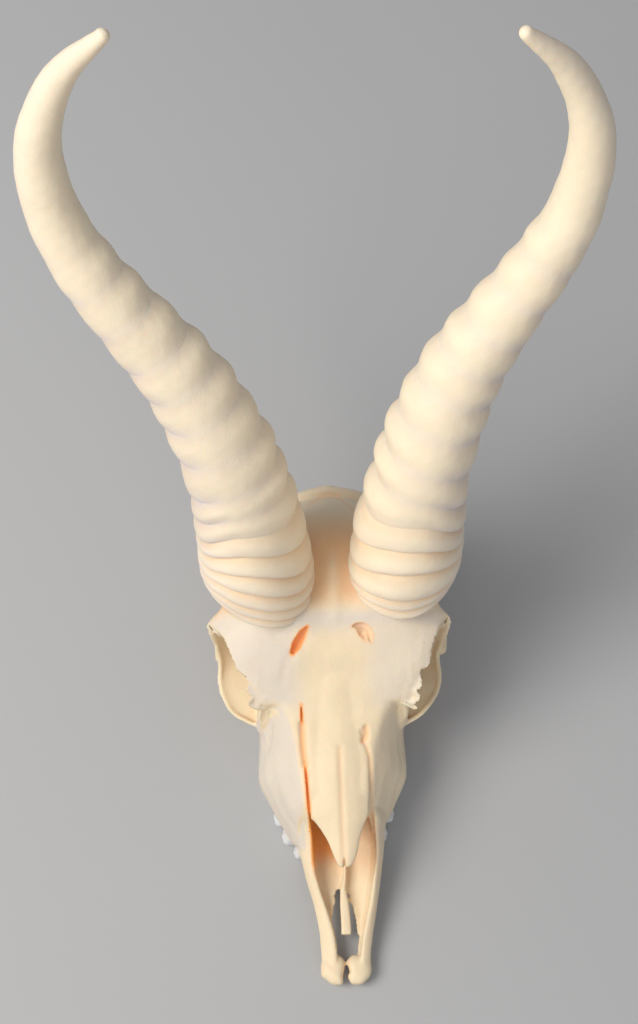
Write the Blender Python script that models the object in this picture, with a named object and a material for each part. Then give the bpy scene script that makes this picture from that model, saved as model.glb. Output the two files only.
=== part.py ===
"""Springbok skull: the cranium, two ringed horns and twelve cheek teeth.

All sizes below are millimetres in the skull's own frame and become metres in the mesh. X runs across
the skull, with the animal's left at +X. Y runs from the tip of the muzzle backwards. Z is up from the
surface that the cheek teeth stand on. The object's origin is on that surface, at HALF_DEPTH.
"""

import math

import bmesh
import bpy
import numpy as np
from mathutils import Matrix, Vector

MM = 0.001
HALF_DEPTH = 118.5
GAP = 0.3
ROUND_SIDES = 16
VOXEL = 1.4
SKULL_TRIANGLES = 5000

# Cheek teeth: name, front edge, length and outer half-width along the row, and the crown's width
CROWN_HEIGHT = 8.5
TOOTH_SPACE = 0.6
TOOTH_LEAN = 1.6
TOOTH_ROW = (
    ("premolar_2", 51.5, 6.0, 18.0, 5.4),
    ("premolar_3", 57.5, 7.8, 22.2, 6.6),
    ("premolar_4", 65.3, 8.7, 25.4, 7.8),
    ("molar_1", 74.0, 12.0, 27.8, 9.4),
    ("molar_2", 86.0, 13.0, 29.2, 10.2),
    ("molar_3", 99.0, 13.5, 29.0, 9.6),
)

# Horns: stations from base to tip, each with its centre and the half-width across
HORN_SIDES = 14
HORN_PATHS = {
    "horn_right": (
        (-28.8, 148.7, 89.6, 18.6),
        (-29.1, 152.3, 102.8, 20.4),
        (-29.2, 156.4, 116.2, 20.0),
        (-31.7, 165.2, 141.7, 18.2),
        (-37.3, 175.4, 166.3, 16.6),
        (-47.0, 186.3, 189.7, 14.7),
        (-60.3, 196.3, 211.4, 12.6),
        (-74.2, 206.2, 232.7, 10.8),
        (-83.9, 217.0, 256.1, 8.9),
        (-84.5, 226.6, 281.4, 7.2),
        (-74.8, 232.1, 306.3, 5.0),
        (-58.1, 231.8, 328.0, 2.0),
    ),
    "horn_left": (
        (28.8, 149.7, 89.9, 18.6),
        (29.6, 153.1, 102.8, 20.4),
        (30.0, 157.1, 115.7, 20.0),
        (32.9, 165.8, 140.9, 17.9),
        (37.9, 176.0, 164.8, 16.5),
        (46.3, 187.0, 187.6, 14.6),
        (58.8, 197.1, 208.6, 12.4),
        (72.2, 206.8, 229.5, 10.7),
        (82.2, 216.7, 252.1, 8.8),
        (83.9, 226.0, 277.0, 7.1),
        (74.9, 231.6, 301.5, 5.0),
        (58.7, 231.6, 322.3, 2.0),
    ),
}
# Each horn's rim: distance along the horn at angles in degrees from the front towards the midline
HORN_RIMS = {
    "horn_right": (
        (-180, 0), (-135, 3), (-90, 4), (-36, 1.5), (-22, -2.5), (-10, -4.5), (2, -6), (16, -8.5),
        (30, -10), (44, -12), (60, -13), (82, -13), (110, -11), (145, -6),
    ),
    "horn_left": (
        (-180, 0), (-135, 2), (-90, 2), (-60, 0), (-38, -3), (-26, -4), (-16, -6), (-4, -6.5),
        (8, -7.5), (20, -7), (32, -6), (48, -6), (64, -7), (88, -11), (115, -11), (145, -6),
    ),
}
# Distances of the grooves between rings, above the rim
HORN_GROOVES = {
    "horn_right": (0, 5.5, 12, 23, 37.5, 54, 69, 85.5, 101.5, 114.5, 129, 146.5, 163, 178.5),
    "horn_left": (0, 8, 21, 33.5, 48.5, 65, 77.5, 94.5, 110, 126, 146.5, 163, 175),
}
# Rings' height at distances above the rim: on the outer side, at the front and on the inner side
RING_RELIEF = (
    (0.0, 1.4, 1.2, 1.4),
    (6.0, 1.8, 1.6, 1.8),
    (12.0, 2.2, 2.0, 2.2),
    (23.0, 2.3, 1.5, 1.8),
    (40.0, 2.2, 0.8, 1.2),
    (60.0, 2.0, 0.5, 0.9),
    (85.0, 1.9, 0.4, 1.3),
    (120.0, 1.6, 0.4, 1.7),
    (150.0, 1.2, 0.3, 1.5),
    (175.0, 0.6, 0.2, 0.8),
    (190.0, 0.0, 0.0, 0.0),
)
RIM_FADE = 40.0
ROOT_LENGTH = 30.0
SEAT_CLEARANCE = 1.0
SEAT_DROP = 0.9
SEAT_DEPTH = 40.0
ROWS_IN_RING = (0.0, 0.25, 0.55, 0.85)
SMOOTH_ROWS = 11

# The face's natural bend: how far each place along the skull lies off the midline low down. It fades
# out between the two heights
BEND_PLACES = (30.0, 60.0, 95.0, 120.0, 150.0)
BEND_SHIFTS = (0.8, -2.0, -2.0, -1.5, 0.0)
BEND_HEIGHTS = (40.0, 62.0)

# Colours, as red, green and blue
BONE = (0.86, 0.76, 0.62)
HORN = (0.88, 0.77, 0.60)
TOOTH = (0.84, 0.79, 0.72)


def clear_scene():
    for item in list(bpy.data.objects):
        bpy.data.objects.remove(item, do_unlink=True)


def make_material(name, colour, roughness):
    material = bpy.data.materials.new(name)
    material.use_nodes = True
    shader = material.node_tree.nodes["Principled BSDF"]
    shader.inputs["Base Color"].default_value = (*colour, 1.0)
    shader.inputs["Roughness"].default_value = roughness
    shader.inputs["Metallic"].default_value = 0.0
    return material


def to_world(points):
    """Millimetres in the skull's frame to metres in the object's frame, with the face's bend."""
    placed = np.array(points, float)
    bend = np.interp(placed[..., 1], BEND_PLACES, BEND_SHIFTS)
    placed[..., 0] += bend * np.interp(placed[..., 2], BEND_HEIGHTS, (1.0, 0.0))
    placed[..., 1] -= HALF_DEPTH
    return placed * MM


def add_loft(bm, rings):
    """Skins a row of rings that have equal numbers of points, and closes both ends."""
    rows = [[bm.verts.new(point) for point in to_world(ring)] for ring in rings]
    count = len(rows[0])
    for lower, upper in zip(rows, rows[1:]):
        for i in range(count):
            j = (i + 1) % count
            bm.faces.new((lower[i], lower[j], upper[j], upper[i]))
    bm.faces.new(rows[0][::-1])
    bm.faces.new(rows[-1])


def add_ball(bm, centre, radii, lean=0.0):
    """A ball stretched to three radii, leaned about the X axis by degrees."""
    place = Matrix.Translation(Vector(to_world(centre)))
    turn = Matrix.Rotation(math.radians(lean), 4, "X")
    stretch = Matrix.Diagonal((*(radius * MM for radius in radii), 1.0))
    bmesh.ops.create_uvsphere(
        bm, u_segments=20, v_segments=12, radius=1.0, matrix=place @ turn @ stretch
    )


def smooth_curve(stations, steps):
    """Catmull-Rom curve through the stations, with steps points in each stretch."""
    points = np.asarray(stations, float)
    ends = np.vstack((2 * points[0] - points[1], points, 2 * points[-1] - points[-2]))
    t = np.linspace(0.0, 1.0, steps, endpoint=False)[:, None]
    parts = []
    for a, b, c, d in zip(ends, ends[1:], ends[2:], ends[3:]):
        square = (2 * a - 5 * b + 4 * c - d) * t**2
        cube = (3 * b - 3 * c + d - a) * t**3
        parts.append(0.5 * (2 * b + (c - a) * t + square + cube))
    return np.vstack((*parts, points[-1:]))


def distances_along(points):
    steps = np.linalg.norm(np.diff(points[:, :3], axis=0), axis=1)
    return np.concatenate(([0.0], np.cumsum(steps)))


def add_bar(bm, stations, flat=1.0, sides=ROUND_SIDES):
    """A round bar along stations of centre and radius. flat scales its height against its width."""
    curve = smooth_curve(stations, 4)
    along = np.gradient(curve[:, :3], axis=0)
    along /= np.linalg.norm(along, axis=1)[:, None]
    up = np.array((0.0, 0.0, 1.0)) - along * along[:, 2:3]
    up += np.array((0.0, 1e-3, 0.0))
    up /= np.linalg.norm(up, axis=1)[:, None]
    side = np.cross(up, along)
    turn = np.linspace(0.0, 2 * math.pi, sides, endpoint=False)
    rings = []
    for point, across, upward in zip(curve, side, up):
        ring = np.outer(np.cos(turn), across) + np.outer(np.sin(turn), upward) * flat
        rings.append(point[:3] + ring * point[3])
    add_loft(bm, rings)


def mirrored(half_outline):
    """The full ring of a half outline that runs from the top midline to the bottom midline."""
    other = [(-x, z) for x, z in half_outline[-2:0:-1]]
    return list(half_outline) + other


def add_sections(bm, sections):
    """A form symmetric about the midline, from half outlines (x, z) at places along Y."""
    rings = [[(x, y, z) for x, z in mirrored(half)] for y, half in sections]
    add_loft(bm, rings)


def object_from(bm, name, material=None):
    bmesh.ops.recalc_face_normals(bm, faces=bm.faces)
    mesh = bpy.data.meshes.new(name)
    bm.to_mesh(mesh)
    bm.free()
    item = bpy.data.objects.new(name, mesh)
    bpy.context.scene.collection.objects.link(item)
    if material:
        mesh.materials.append(material)
    return item


def bake(item):
    """Puts the object's modifiers into its mesh."""
    graph = bpy.context.evaluated_depsgraph_get()
    graph.update()
    mesh = bpy.data.meshes.new_from_object(item.evaluated_get(graph))
    item.modifiers.clear()
    item.data = mesh


def fuse(item, voxel, smoothing):
    """Joins overlapping shells in one skin and softens it."""
    remesh = item.modifiers.new("Fuse", "REMESH")
    remesh.mode = "VOXEL"
    remesh.voxel_size = voxel * MM
    relax = item.modifiers.new("Relax", "SMOOTH")
    relax.factor = 0.5
    relax.iterations = smoothing
    bake(item)


def cut(item, cutter):
    boolean = item.modifiers.new("Cut", "BOOLEAN")
    boolean.operation = "DIFFERENCE"
    boolean.solver = "EXACT"
    boolean.object = cutter
    bake(item)
    bpy.data.objects.remove(cutter, do_unlink=True)


MUZZLE_SECTIONS = (
    (55.0, ((0, 24), (9, 24), (14, 23), (16, 19), (17, 15), (16, 9), (11, 9), (8, 11), (0, 12))),
    (60.0, ((0, 33), (9, 33), (13.5, 32), (16.5, 26), (19, 17), (19, 9), (12, 9), (8.5, 12), (0, 13))),
    (
        65.0,
        ((0, 43), (9, 43.5), (13.5, 42), (18.5, 32), (22, 19),
         (21.5, 9), (14, 9), (9, 12.5), (0, 13.5)),
    ),
    (70.0, ((0, 49), (10, 48.5), (14.5, 46), (21, 34), (25, 20), (23.8, 9), (15, 9), (10, 13), (0, 14))),
    (80.0, ((0, 53), (11, 52.5), (16, 50), (25, 38), (30.3, 24), (27, 9), (16, 9), (11, 14), (0, 15.5))),
    (90.0, ((0, 57.5), (12, 57.5), (18, 55), (25, 43), (29.6, 28), (29, 9), (17, 9), (12, 15), (0, 17))),
    (98.0, ((0, 62), (13, 62), (20, 60), (26, 48), (29.3, 33), (29, 9), (17.5, 9), (12, 16), (0, 18))),
    (
        106.0,
        ((0, 66.5), (14, 66.5), (24, 65), (28, 52), (30, 38),
         (29, 9), (17.5, 9), (12, 17), (0, 18.5)),
    ),
    (114.0, ((0, 71), (15, 71), (26, 70), (27, 55), (29, 40), (28, 9), (17, 9), (12, 17.5), (0, 19))),
    (119.0, ((0, 74), (15, 74), (24, 70), (22, 54), (24, 40), (23, 16), (15, 14), (10, 19), (0, 20))),
)
CRANIUM_SECTIONS = (
    (103.0, ((0, 65), (14, 65), (26, 63), (33.5, 58), (33, 54), (24, 50), (20, 40), (16, 24), (0, 22))),
    (
        111.0,
        ((0, 70), (16, 70.5), (28, 71), (34.8, 69), (35.5, 64),
         (26, 55), (22, 42), (14, 24), (0, 22)),
    ),
    (
        119.0,
        ((0, 76.5), (16, 77), (31, 77), (39, 74.5), (39, 70.5),
         (26, 58), (22, 44), (13, 26), (0, 25)),
    ),
    (
        127.0,
        ((0, 82), (16, 82.5), (32, 81.5), (44.5, 75.5), (44.5, 70.5),
         (28, 60), (23, 46), (13, 27), (0, 26)),
    ),
    (
        134.0,
        ((0, 86.5), (16, 87.5), (32, 85), (48.3, 73), (48, 68),
         (30, 60), (25, 46), (13, 28), (0, 27)),
    ),
    (141.0, ((0, 89), (16, 89.5), (31, 88), (42, 78), (41, 68), (30, 58), (27, 46), (14, 28), (0, 27))),
    (
        148.0,
        ((0, 90.5), (16, 90.5), (30, 88), (36, 78), (33, 66),
         (31, 56), (27, 44), (14, 28), (0, 27)),
    ),
    (
        158.0,
        ((0, 92), (15, 90.5), (26, 84), (31, 74), (32, 62),
         (30, 50), (24, 38), (14, 28), (0, 26.5)),
    ),
    (
        168.0,
        ((0, 90.2), (13, 87.2), (23, 80), (30, 72), (31.5, 60),
         (29, 48), (23, 37), (13, 28), (0, 26.5)),
    ),
    (
        177.0,
        ((0, 84), (12, 80.7), (20, 73.5), (26.5, 65), (29, 57),
         (27, 46), (21, 36), (12, 29), (0, 27)),
    ),
    (
        185.0,
        ((0, 74), (10, 71), (17, 65.5), (22.5, 59), (24, 53),
         (22, 44), (17, 36), (10, 30), (0, 28)),
    ),
    (191.0, ((0, 64), (8, 62), (14, 58), (17.5, 52), (17, 46), (14, 40), (10, 35), (6, 32), (0, 31))),
)
# Nasal plate: place along Y, middle and half-width across, top and thickness
NASAL_STATIONS = (
    (43.5, 2.5, 3.0, 38.0, 2.4),
    (46.0, 2.7, 4.8, 39.8, 2.8),
    (52.0, 2.9, 7.6, 42.5, 3.0),
    (58.0, 2.8, 10.2, 45.3, 3.0),
    (66.0, 2.3, 12.2, 49.0, 3.0),
    (80.0, 1.1, 12.6, 54.6, 3.0),
    (96.0, 0.3, 13.6, 62.0, 3.0),
    (112.0, 0.0, 14.5, 71.0, 3.0),
)
NASAL_ARCH = 4.0
# Cheekbone bowl under each eye: place along Y, inner edge, floor height, outer edge and its height
CHEEK_STATIONS = (
    (97.5, 24.0, 36.0, 31.0, 44.0),
    (101.5, 25.0, 37.5, 36.0, 45.5),
    (106.0, 26.0, 38.5, 40.6, 46.0),
    (114.0, 27.0, 39.0, 44.8, 46.5),
    (122.0, 29.0, 39.5, 45.4, 48.0),
    (129.0, 33.0, 40.0, 46.4, 51.0),
    (134.0, 38.0, 41.0, 47.0, 53.0),
)
CHEEK_WALL = 3.2
# Round bars: stations of centre and radius. Those with a side are mirrored across the midline
BAR_SHAPES = {
    "cheek_arch": (
        (44.0, 128, 45, 3.4),
        (44.2, 136, 45, 3.6),
        (42.0, 146, 44, 3.3),
        (37.5, 156, 43.5, 3.4),
        (30.0, 163, 43.5, 4.4),
    ),
    "bar_behind_eye": (
        (44.6, 132, 71, 3.6),
        (44.8, 135.5, 64, 3.1),
        (45.0, 137, 56, 3.0),
        (44.6, 135.5, 47, 3.6),
    ),
    "front_of_rim": (
        (28.0, 99.5, 44, 3.2),
        (30.3, 101, 52, 3.2),
        (31.2, 105, 60, 3.4),
        (31.6, 109, 65.5, 3.2),
        (34.4, 115, 70.2, 2.9),
        (38.5, 121, 72.5, 2.6),
        (43.5, 129, 73.0, 2.6),
    ),
    "muzzle_rod": (
        (15.5, 60, 19, 4.6),
        (14.0, 52, 18, 4.3),
        (12.3, 42, 15, 3.6),
        (10.3, 30, 11.5, 3.2),
        (8.8, 19, 8.8, 3.0),
        (7.7, 10, 7.0, 3.3),
        (6.8, 5, 6.2, 4.0),
    ),
    "nose_edge": (
        (13.8, 55, 21, 3.0),
        (13.6, 60, 30, 2.6),
        (12.6, 66, 43, 2.4),
    ),
    "rear_foot": (
        (23.5, 176, 40, 5.6),
        (23.0, 177, 27, 4.8),
        (21.5, 175.5, 13, 3.8),
        (20.5, 173, -2.5, 2.8),
    ),
    "crest_side": (
        (0.0, 190.5, 68.5, 2.6),
        (14.0, 187.5, 65.5, 2.6),
        (25.0, 180.5, 55, 2.4),
        (26.0, 177, 42, 3.0),
    ),
}
PALATE_WING = (
    (11.0, 104, 16, 2.4),
    (10.8, 118, 17, 2.4),
    (12.0, 136, 24, 2.8),
)
PALATE_WING_HEIGHT = 3.0
BAR_HEIGHT = 1.1
MIDLINE_BARS = {
    "septum": (
        (0.6, 66, 15, 2.4),
        (0.4, 48, 13.5, 2.0),
        (0.7, 34, 11.5, 2.1),
        (1.1, 17.5, 9.5, 2.4),
    ),
    "skull_floor": (
        (0.0, 132, 27, 5.5),
        (0.0, 160, 26, 6.5),
        (0.0, 184, 28, 8.0),
    ),
}
# The palate's floor on each side: place along Y, outer and inner edge; it rises backwards
PALATE_EDGES = (
    (62, 14.0, 1.0),
    (52, 13.0, 1.0),
    (42, 11.4, 1.0),
    (35, 9.6, 3.4),
    (27, 8.4, 6.8),
)
PALATE_TOP = 9.0
PALATE_RISE = 0.09
PALATE_THICKNESS = 2.6
# Bars that carry the horns and join the cheek arch to the braincase
HORN_CORE = (
    (26.0, 143, 60, 15),
    (27.5, 147, 76, 17),
    (28.8, 150, 97, 17),
)
ARCH_ROOT = (
    (26.0, 160, 44, 8),
    (31.0, 161, 43, 5),
)
# Balls added to the bulk or to the thin parts: centre, radii and lean in degrees
EAR_BULGE = ((17.0, 158, 21), (7.5, 11, 9), 0)
NECK_KNUCKLE = ((9.5, 189, 32), (7, 8, 9), -20)
MUZZLE_TIP = ((6.8, 5.4, 6.2), (4.9, 5.8, 4.8), 0)
TIP_LOBE = ((5.3, 11.5, 6.5), (2.8, 3.4, 2.9), 0)
# Hollows: balls, the way back through the orbit, and the nasal cavity's sections, each with its place
# along Y, half-width, floor and roof
SIDE_SCOOPS = (
    ((35.5, 117.5, 55.8), (18, 16, 14), 0),
    ((50.0, 119, 60), (20, 14, 12), 0),
    ((12.8, 124.5, 82.0), (3.7, 5.4, 5.5), -35),
    ((33.0, 90.0, 54), (8.5, 5.5, 10), 0),
)
MIDLINE_SCOOPS = (
    ((0, 129, 14), (9.5, 19, 12.5), 0),
    ((0, 192, 43), (8, 14, 7.5), 0),
)
TEMPLE_WAY = (
    (37, 128, 52, 10),
    (36, 140, 48, 9),
    (40, 152, 46, 7),
)
NASAL_CAVITY = (
    (50.0, 10.5, 15.0, 38.0),
    (58.0, 11.0, 15.5, 41.5),
    (66.0, 11.5, 16.5, 45.0),
    (78.0, 12.0, 18.0, 49.5),
    (92.0, 11.5, 21.0, 55.0),
    (104.0, 8.0, 28.0, 56.0),
)
CAVITY_POWER = 0.75
# Blocks cut away below: corners low and high, over the tooth rows and under the rear feet
TOOTH_ROW_BLOCK = ((9, 50, -5), (37, 118, CROWN_HEIGHT + GAP))
FOOT_BLOCK = ((10, 160, -10), (37, 190, 0))


def nasal_ring(y, middle, half_width, top, thickness):
    """An arched strip across the midline: its top falls away to both edges."""
    across = np.linspace(-1.0, 1.0, 7)
    upper = [(middle + x * half_width, y, top - NASAL_ARCH * x * x * half_width / 13.0) for x in across]
    lower = [(x, y, z - thickness) for x, y, z in upper[::-1]]
    return upper + lower


def cheek_ring(side, y, inner, floor, outer, edge):
    """A strip that starts level at the face and curls up to the rim's outer edge."""
    lift = np.linspace(0.0, 1.0, 6)
    x = inner + (outer - inner) * np.sin(lift * math.pi / 2) ** 0.9
    z = floor + (edge - floor) * (1 - np.cos(lift * math.pi / 2)) ** 1.3
    outside = [(side * a, y, b - CHEEK_WALL * (1 - t)) for a, b, t in zip(x, z, lift)]
    inside = [(side * (a - CHEEK_WALL * t), y, b) for a, b, t in zip(x, z, lift)]
    return outside + inside[::-1]


def on_side(side, stations):
    """The same stations on one side of the skull: side is 1 for the animal's left, -1 for its right."""
    return [(side * x, *rest) for x, *rest in stations]


def add_side_ball(bm, side, ball):
    (x, y, z), radii, lean = ball
    add_ball(bm, (side * x, y, z), radii, lean)


def solid_forms():
    """The bulk of the skull before it is hollowed."""
    bm = bmesh.new()
    add_sections(bm, MUZZLE_SECTIONS)
    add_sections(bm, CRANIUM_SECTIONS)
    for side in (-1, 1):
        add_bar(bm, on_side(side, HORN_CORE), sides=24)
        add_side_ball(bm, side, EAR_BULGE)
        add_side_ball(bm, side, NECK_KNUCKLE)
        add_bar(bm, on_side(side, ARCH_ROOT))
    return object_from(bm, "skull_bulk")


def cavity_ring(y, half_width, floor, roof):
    """A rounded box across the midline."""
    turn = np.linspace(0.0, 2 * math.pi, 20, endpoint=False)
    across = np.sign(np.cos(turn)) * np.abs(np.cos(turn)) ** CAVITY_POWER
    upward = np.sign(np.sin(turn)) * np.abs(np.sin(turn)) ** CAVITY_POWER
    z = (floor + roof) / 2 + (roof - floor) / 2 * upward
    return np.stack((half_width * across, np.full_like(z, y), z), axis=1)


def hollows():
    """Everything that is scooped out of the bulk: orbits, nasal cavity, throat and spinal opening."""
    bm = bmesh.new()
    add_loft(bm, [cavity_ring(*section) for section in NASAL_CAVITY])
    for side in (-1, 1):
        for ball in SIDE_SCOOPS:
            add_side_ball(bm, side, ball)
        add_bar(bm, on_side(side, TEMPLE_WAY))
    for ball in MIDLINE_SCOOPS:
        add_side_ball(bm, 1, ball)
    return object_from(bm, "hollows")


def palate_ring(side, y, outer, inner):
    top = PALATE_TOP + PALATE_RISE * (y - PALATE_EDGES[-1][0])
    low = top - PALATE_THICKNESS
    return [(side * x, y, z) for x, z in ((inner, top), (outer, top), (outer, low), (inner, low))]


def thin_forms():
    """The bars and plates that stay whole where the bulk is hollowed."""
    bm = bmesh.new()
    add_loft(bm, [nasal_ring(*station) for station in NASAL_STATIONS])
    for stations in MIDLINE_BARS.values():
        add_bar(bm, stations)
    for side in (-1, 1):
        for stations in BAR_SHAPES.values():
            add_bar(bm, on_side(side, stations), flat=BAR_HEIGHT)
        add_bar(bm, on_side(side, PALATE_WING), flat=PALATE_WING_HEIGHT)
        add_side_ball(bm, side, MUZZLE_TIP)
        add_side_ball(bm, side, TIP_LOBE)
        add_loft(bm, [palate_ring(side, *station) for station in PALATE_EDGES])
        add_loft(bm, [cheek_ring(side, *station) for station in CHEEK_STATIONS])
    return bm


def horn_line(name):
    """The horn's centre line with its half-widths, and each point's distance from the first station.

    The line is drawn on straight below that station, a little narrower downwards.
    """
    curve = smooth_curve(HORN_PATHS[name], 24)
    start = curve[4, :3] - curve[0, :3]
    start /= np.linalg.norm(start)
    below = np.linspace(-ROOT_LENGTH, -1.0, 15)[:, None]
    root = np.hstack((curve[0, :3] + start * below, curve[0, 3] + 0.065 * below))
    return np.vstack((root, curve)), np.concatenate((below[:, 0], distances_along(curve)))


def horn_rows(name, length):
    """Distances of the mesh's rows above the rim: a few in each ring, then evenly to the tip."""
    places = HORN_GROOVES[name]
    rows = [low + (high - low) * part for low, high in zip(places, places[1:]) for part in ROWS_IN_RING]
    return np.array(rows + list(np.linspace(places[-1], length, SMOOTH_ROWS)))


def ease(low, high, value):
    """0 below low, 1 above high, and smooth between."""
    t = np.clip((value - low) / (high - low), 0.0, 1.0)
    return t * t * (3 - 2 * t)


def along_at(name, row, inward):
    """Distance along the line of a place above the rim. The rings dip outwards on the lower shaft."""
    angles, edges = np.array(HORN_RIMS[name], float).T
    edge = sum(np.interp(inward + shift, angles, edges, period=360.0) for shift in (-8.0, 0.0, 8.0)) / 3
    dip = ease(15, 60, -inward) * (1 - ease(100, 170, -inward)) * -8.0
    dip += ease(20, 60, inward) * (1 - ease(100, 170, inward)) * 3.0
    band = ease(10, 35, row) * (1 - ease(60, 90, row))
    return row + edge * max(0.0, 1 - row / RIM_FADE) + dip * band


def ring_relief(name, row, inward):
    """How far the surface stands out: it rises quickly from each groove and falls slowly to the next."""
    places = np.array((*HORN_GROOVES[name], 400.0))
    index = int(np.clip(np.searchsorted(places, row, side="right") - 1, 0, len(places) - 2))
    part = (row - places[index]) / (places[index + 1] - places[index])
    shape = ease(0.0, 0.28, part) * (1 - ease(0.5, 1.0, part))
    distance, outer, front, inner = np.array(RING_RELIEF).T
    sideways = np.sin(np.radians(inward))
    side = np.interp(row, distance, inner if sideways > 0 else outer)
    middle = np.interp(row, distance, front if abs(inward) < 90 else 0.7 * outer)
    return (middle + (side - middle) * abs(sideways) ** 1.2) * (shape - 0.55)


def horn_frame(curve, arc, distance):
    """Centre, half-width, and the directions along, to the front and to the side."""
    centre = np.array([np.interp(distance, arc, curve[:, i]) for i in range(4)])
    ahead = np.array([np.interp(distance + 1.5, arc, curve[:, i]) for i in range(3)])
    behind = np.array([np.interp(distance - 1.5, arc, curve[:, i]) for i in range(3)])
    along = ahead - behind
    along /= np.linalg.norm(along)
    front = np.array((0.0, -1.0, 0.0))
    front -= along * front.dot(along)
    front /= np.linalg.norm(front)
    return centre[:3], centre[3], along, front, np.cross(along, front)


def horn_ring(name, row, grow=0.0, lift=0.0):
    """One ring of a horn, row millimetres above its rim."""
    curve, arc = horn_line(name)
    towards = 1 if name == "horn_right" else -1
    ring = []
    for turn in np.linspace(0.0, 2 * math.pi, HORN_SIDES, endpoint=False):
        inward = (math.degrees(turn) * towards + 180.0) % 360.0 - 180.0
        distance = along_at(name, row, inward)
        centre, radius, along, front, side = horn_frame(curve, arc, distance)
        deep = 1.0 + 0.06 * max(0.0, 1 - distance / 130.0)
        reach = radius + ring_relief(name, row, inward) + grow
        across = math.cos(turn) * reach * deep * front + math.sin(turn) * reach * side
        ring.append(centre + across + lift * along)
    return np.array(ring)


def base_ring(ring):
    """A small ring in the middle of a horn's lowest ring, so that its underside is a shallow cone."""
    middle = ring.mean(axis=0)
    return middle + (ring - middle) * 0.04


def make_horn(name, material):
    """A horn as one skin over its rings, open nowhere."""
    length = horn_line(name)[1][-1]
    rings = [horn_ring(name, row) for row in horn_rows(name, length)]
    bm = bmesh.new()
    add_loft(bm, [base_ring(rings[0]), *rings])
    horn = object_from(bm, name, material)
    horn.data.shade_smooth()
    return horn


def horn_seat(name):
    """A cutter that trims the bone to the horn's own rim, just clear of its first rings."""
    rings = [horn_ring(name, 0.0, grow=SEAT_CLEARANCE, lift=-SEAT_DROP)]
    rows = horn_rows(name, horn_line(name)[1][-1])
    rings += [horn_ring(name, row, grow=SEAT_CLEARANCE) for row in rows if 0 < row < SEAT_DEPTH]
    bm = bmesh.new()
    add_loft(bm, [base_ring(rings[0]), *rings])
    return object_from(bm, name + "_seat")


def tooth_ring(front, length, outer, width, lobes, z, grow):
    """A crown's outline at height z: an oval with shallow folds on its two long sides."""
    turn = np.linspace(0.0, 2 * math.pi, 12, endpoint=False)
    fold = 1.0 - 0.09 * (lobes - 1) * np.cos(turn * 2) ** 8 * (np.abs(np.cos(turn)) > 0.7)
    half_length = length / 2 - TOOTH_SPACE / 2
    middle = outer - width / 2 - TOOTH_LEAN * z / CROWN_HEIGHT
    x = middle + (width / 2 + grow) * np.sign(np.cos(turn)) * np.abs(np.cos(turn)) ** 0.6 * fold
    y = front + length / 2 + (half_length + grow) * np.sign(np.sin(turn)) * np.abs(np.sin(turn)) ** 0.6
    return np.stack((x, y, np.full_like(x, z)), axis=1)


def make_tooth(name, front, length, outer, width, side, material):
    """A cheek tooth: flat where it grinds, widest low on the crown and narrower at the neck."""
    lobes = 2 if name.startswith("molar") else 1
    levels = ((0.0, -0.7), (1.4, 0.0), (CROWN_HEIGHT, -0.5))
    bm = bmesh.new()
    rings = []
    for z, grow in levels:
        ring = tooth_ring(front, length, outer, width, lobes, z, grow)
        rings.append(ring * (side, 1.0, 1.0))
    add_loft(bm, rings)
    suffix = "_left" if side > 0 else "_right"
    return object_from(bm, name + suffix, material)


def add_block(bm, side, low, high):
    """A block between two corners, on one side of the skull."""
    low, high = (Vector(to_world((side * corner[0], *corner[1:]))) for corner in (low, high))
    size = [abs(reach) for reach in high - low]
    place = Matrix.Translation((low + high) / 2) @ Matrix.Diagonal((*size, 1.0))
    bmesh.ops.create_cube(bm, size=1.0, matrix=place)


def flat_undersides():
    """Blocks that leave the jaw flat above the crowns and the rear feet flat on the ground."""
    bm = bmesh.new()
    for side in (-1, 1):
        add_block(bm, side, *TOOTH_ROW_BLOCK)
        add_block(bm, side, *FOOT_BLOCK)
    return object_from(bm, "flat_undersides")


def make_skull(material):
    skull = solid_forms()
    fuse(skull, VOXEL, 4)
    scoops = hollows()
    fuse(scoops, VOXEL, 1)
    cut(skull, scoops)
    bm = thin_forms()
    bm.from_mesh(skull.data)
    bpy.data.objects.remove(skull, do_unlink=True)
    skull = object_from(bm, "skull", material)
    fuse(skull, VOXEL, 3)
    count = sum(len(face.vertices) - 2 for face in skull.data.polygons)
    thin = skull.modifiers.new("Thin out", "DECIMATE")
    thin.ratio = SKULL_TRIANGLES / count
    bake(skull)
    for name in HORN_PATHS:
        cut(skull, horn_seat(name))
    cut(skull, flat_undersides())
    skull.data.shade_smooth()
    return skull


def build():
    clear_scene()
    bone = make_material("bone", BONE, 0.6)
    horn = make_material("horn", HORN, 0.55)
    tooth = make_material("tooth", TOOTH, 0.4)
    make_skull(bone)
    for name in HORN_PATHS:
        make_horn(name, horn)
    for side in (-1, 1):
        for name, front, length, outer, width in TOOTH_ROW:
            make_tooth(name, front, length, outer, width, side, tooth)


build()
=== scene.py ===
"""Looks of the springbok skull: the head bone, two ringed horn sheaths and twelve cheek teeth.

Shapes are worked out in millimetres in the skull's own frame and become metres in the mesh. X runs across
the skull, with the animal's left at +X. Y runs from the tip of the muzzle backwards. Z is up from the
surface that the teeth stand on.
"""

import logging
import math
from collections.abc import Iterable
from dataclasses import dataclass
from enum import Enum

import bmesh
import bpy
import numpy as np
from mathutils import Matrix, Vector
from mathutils.bvhtree import BVHTree


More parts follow.
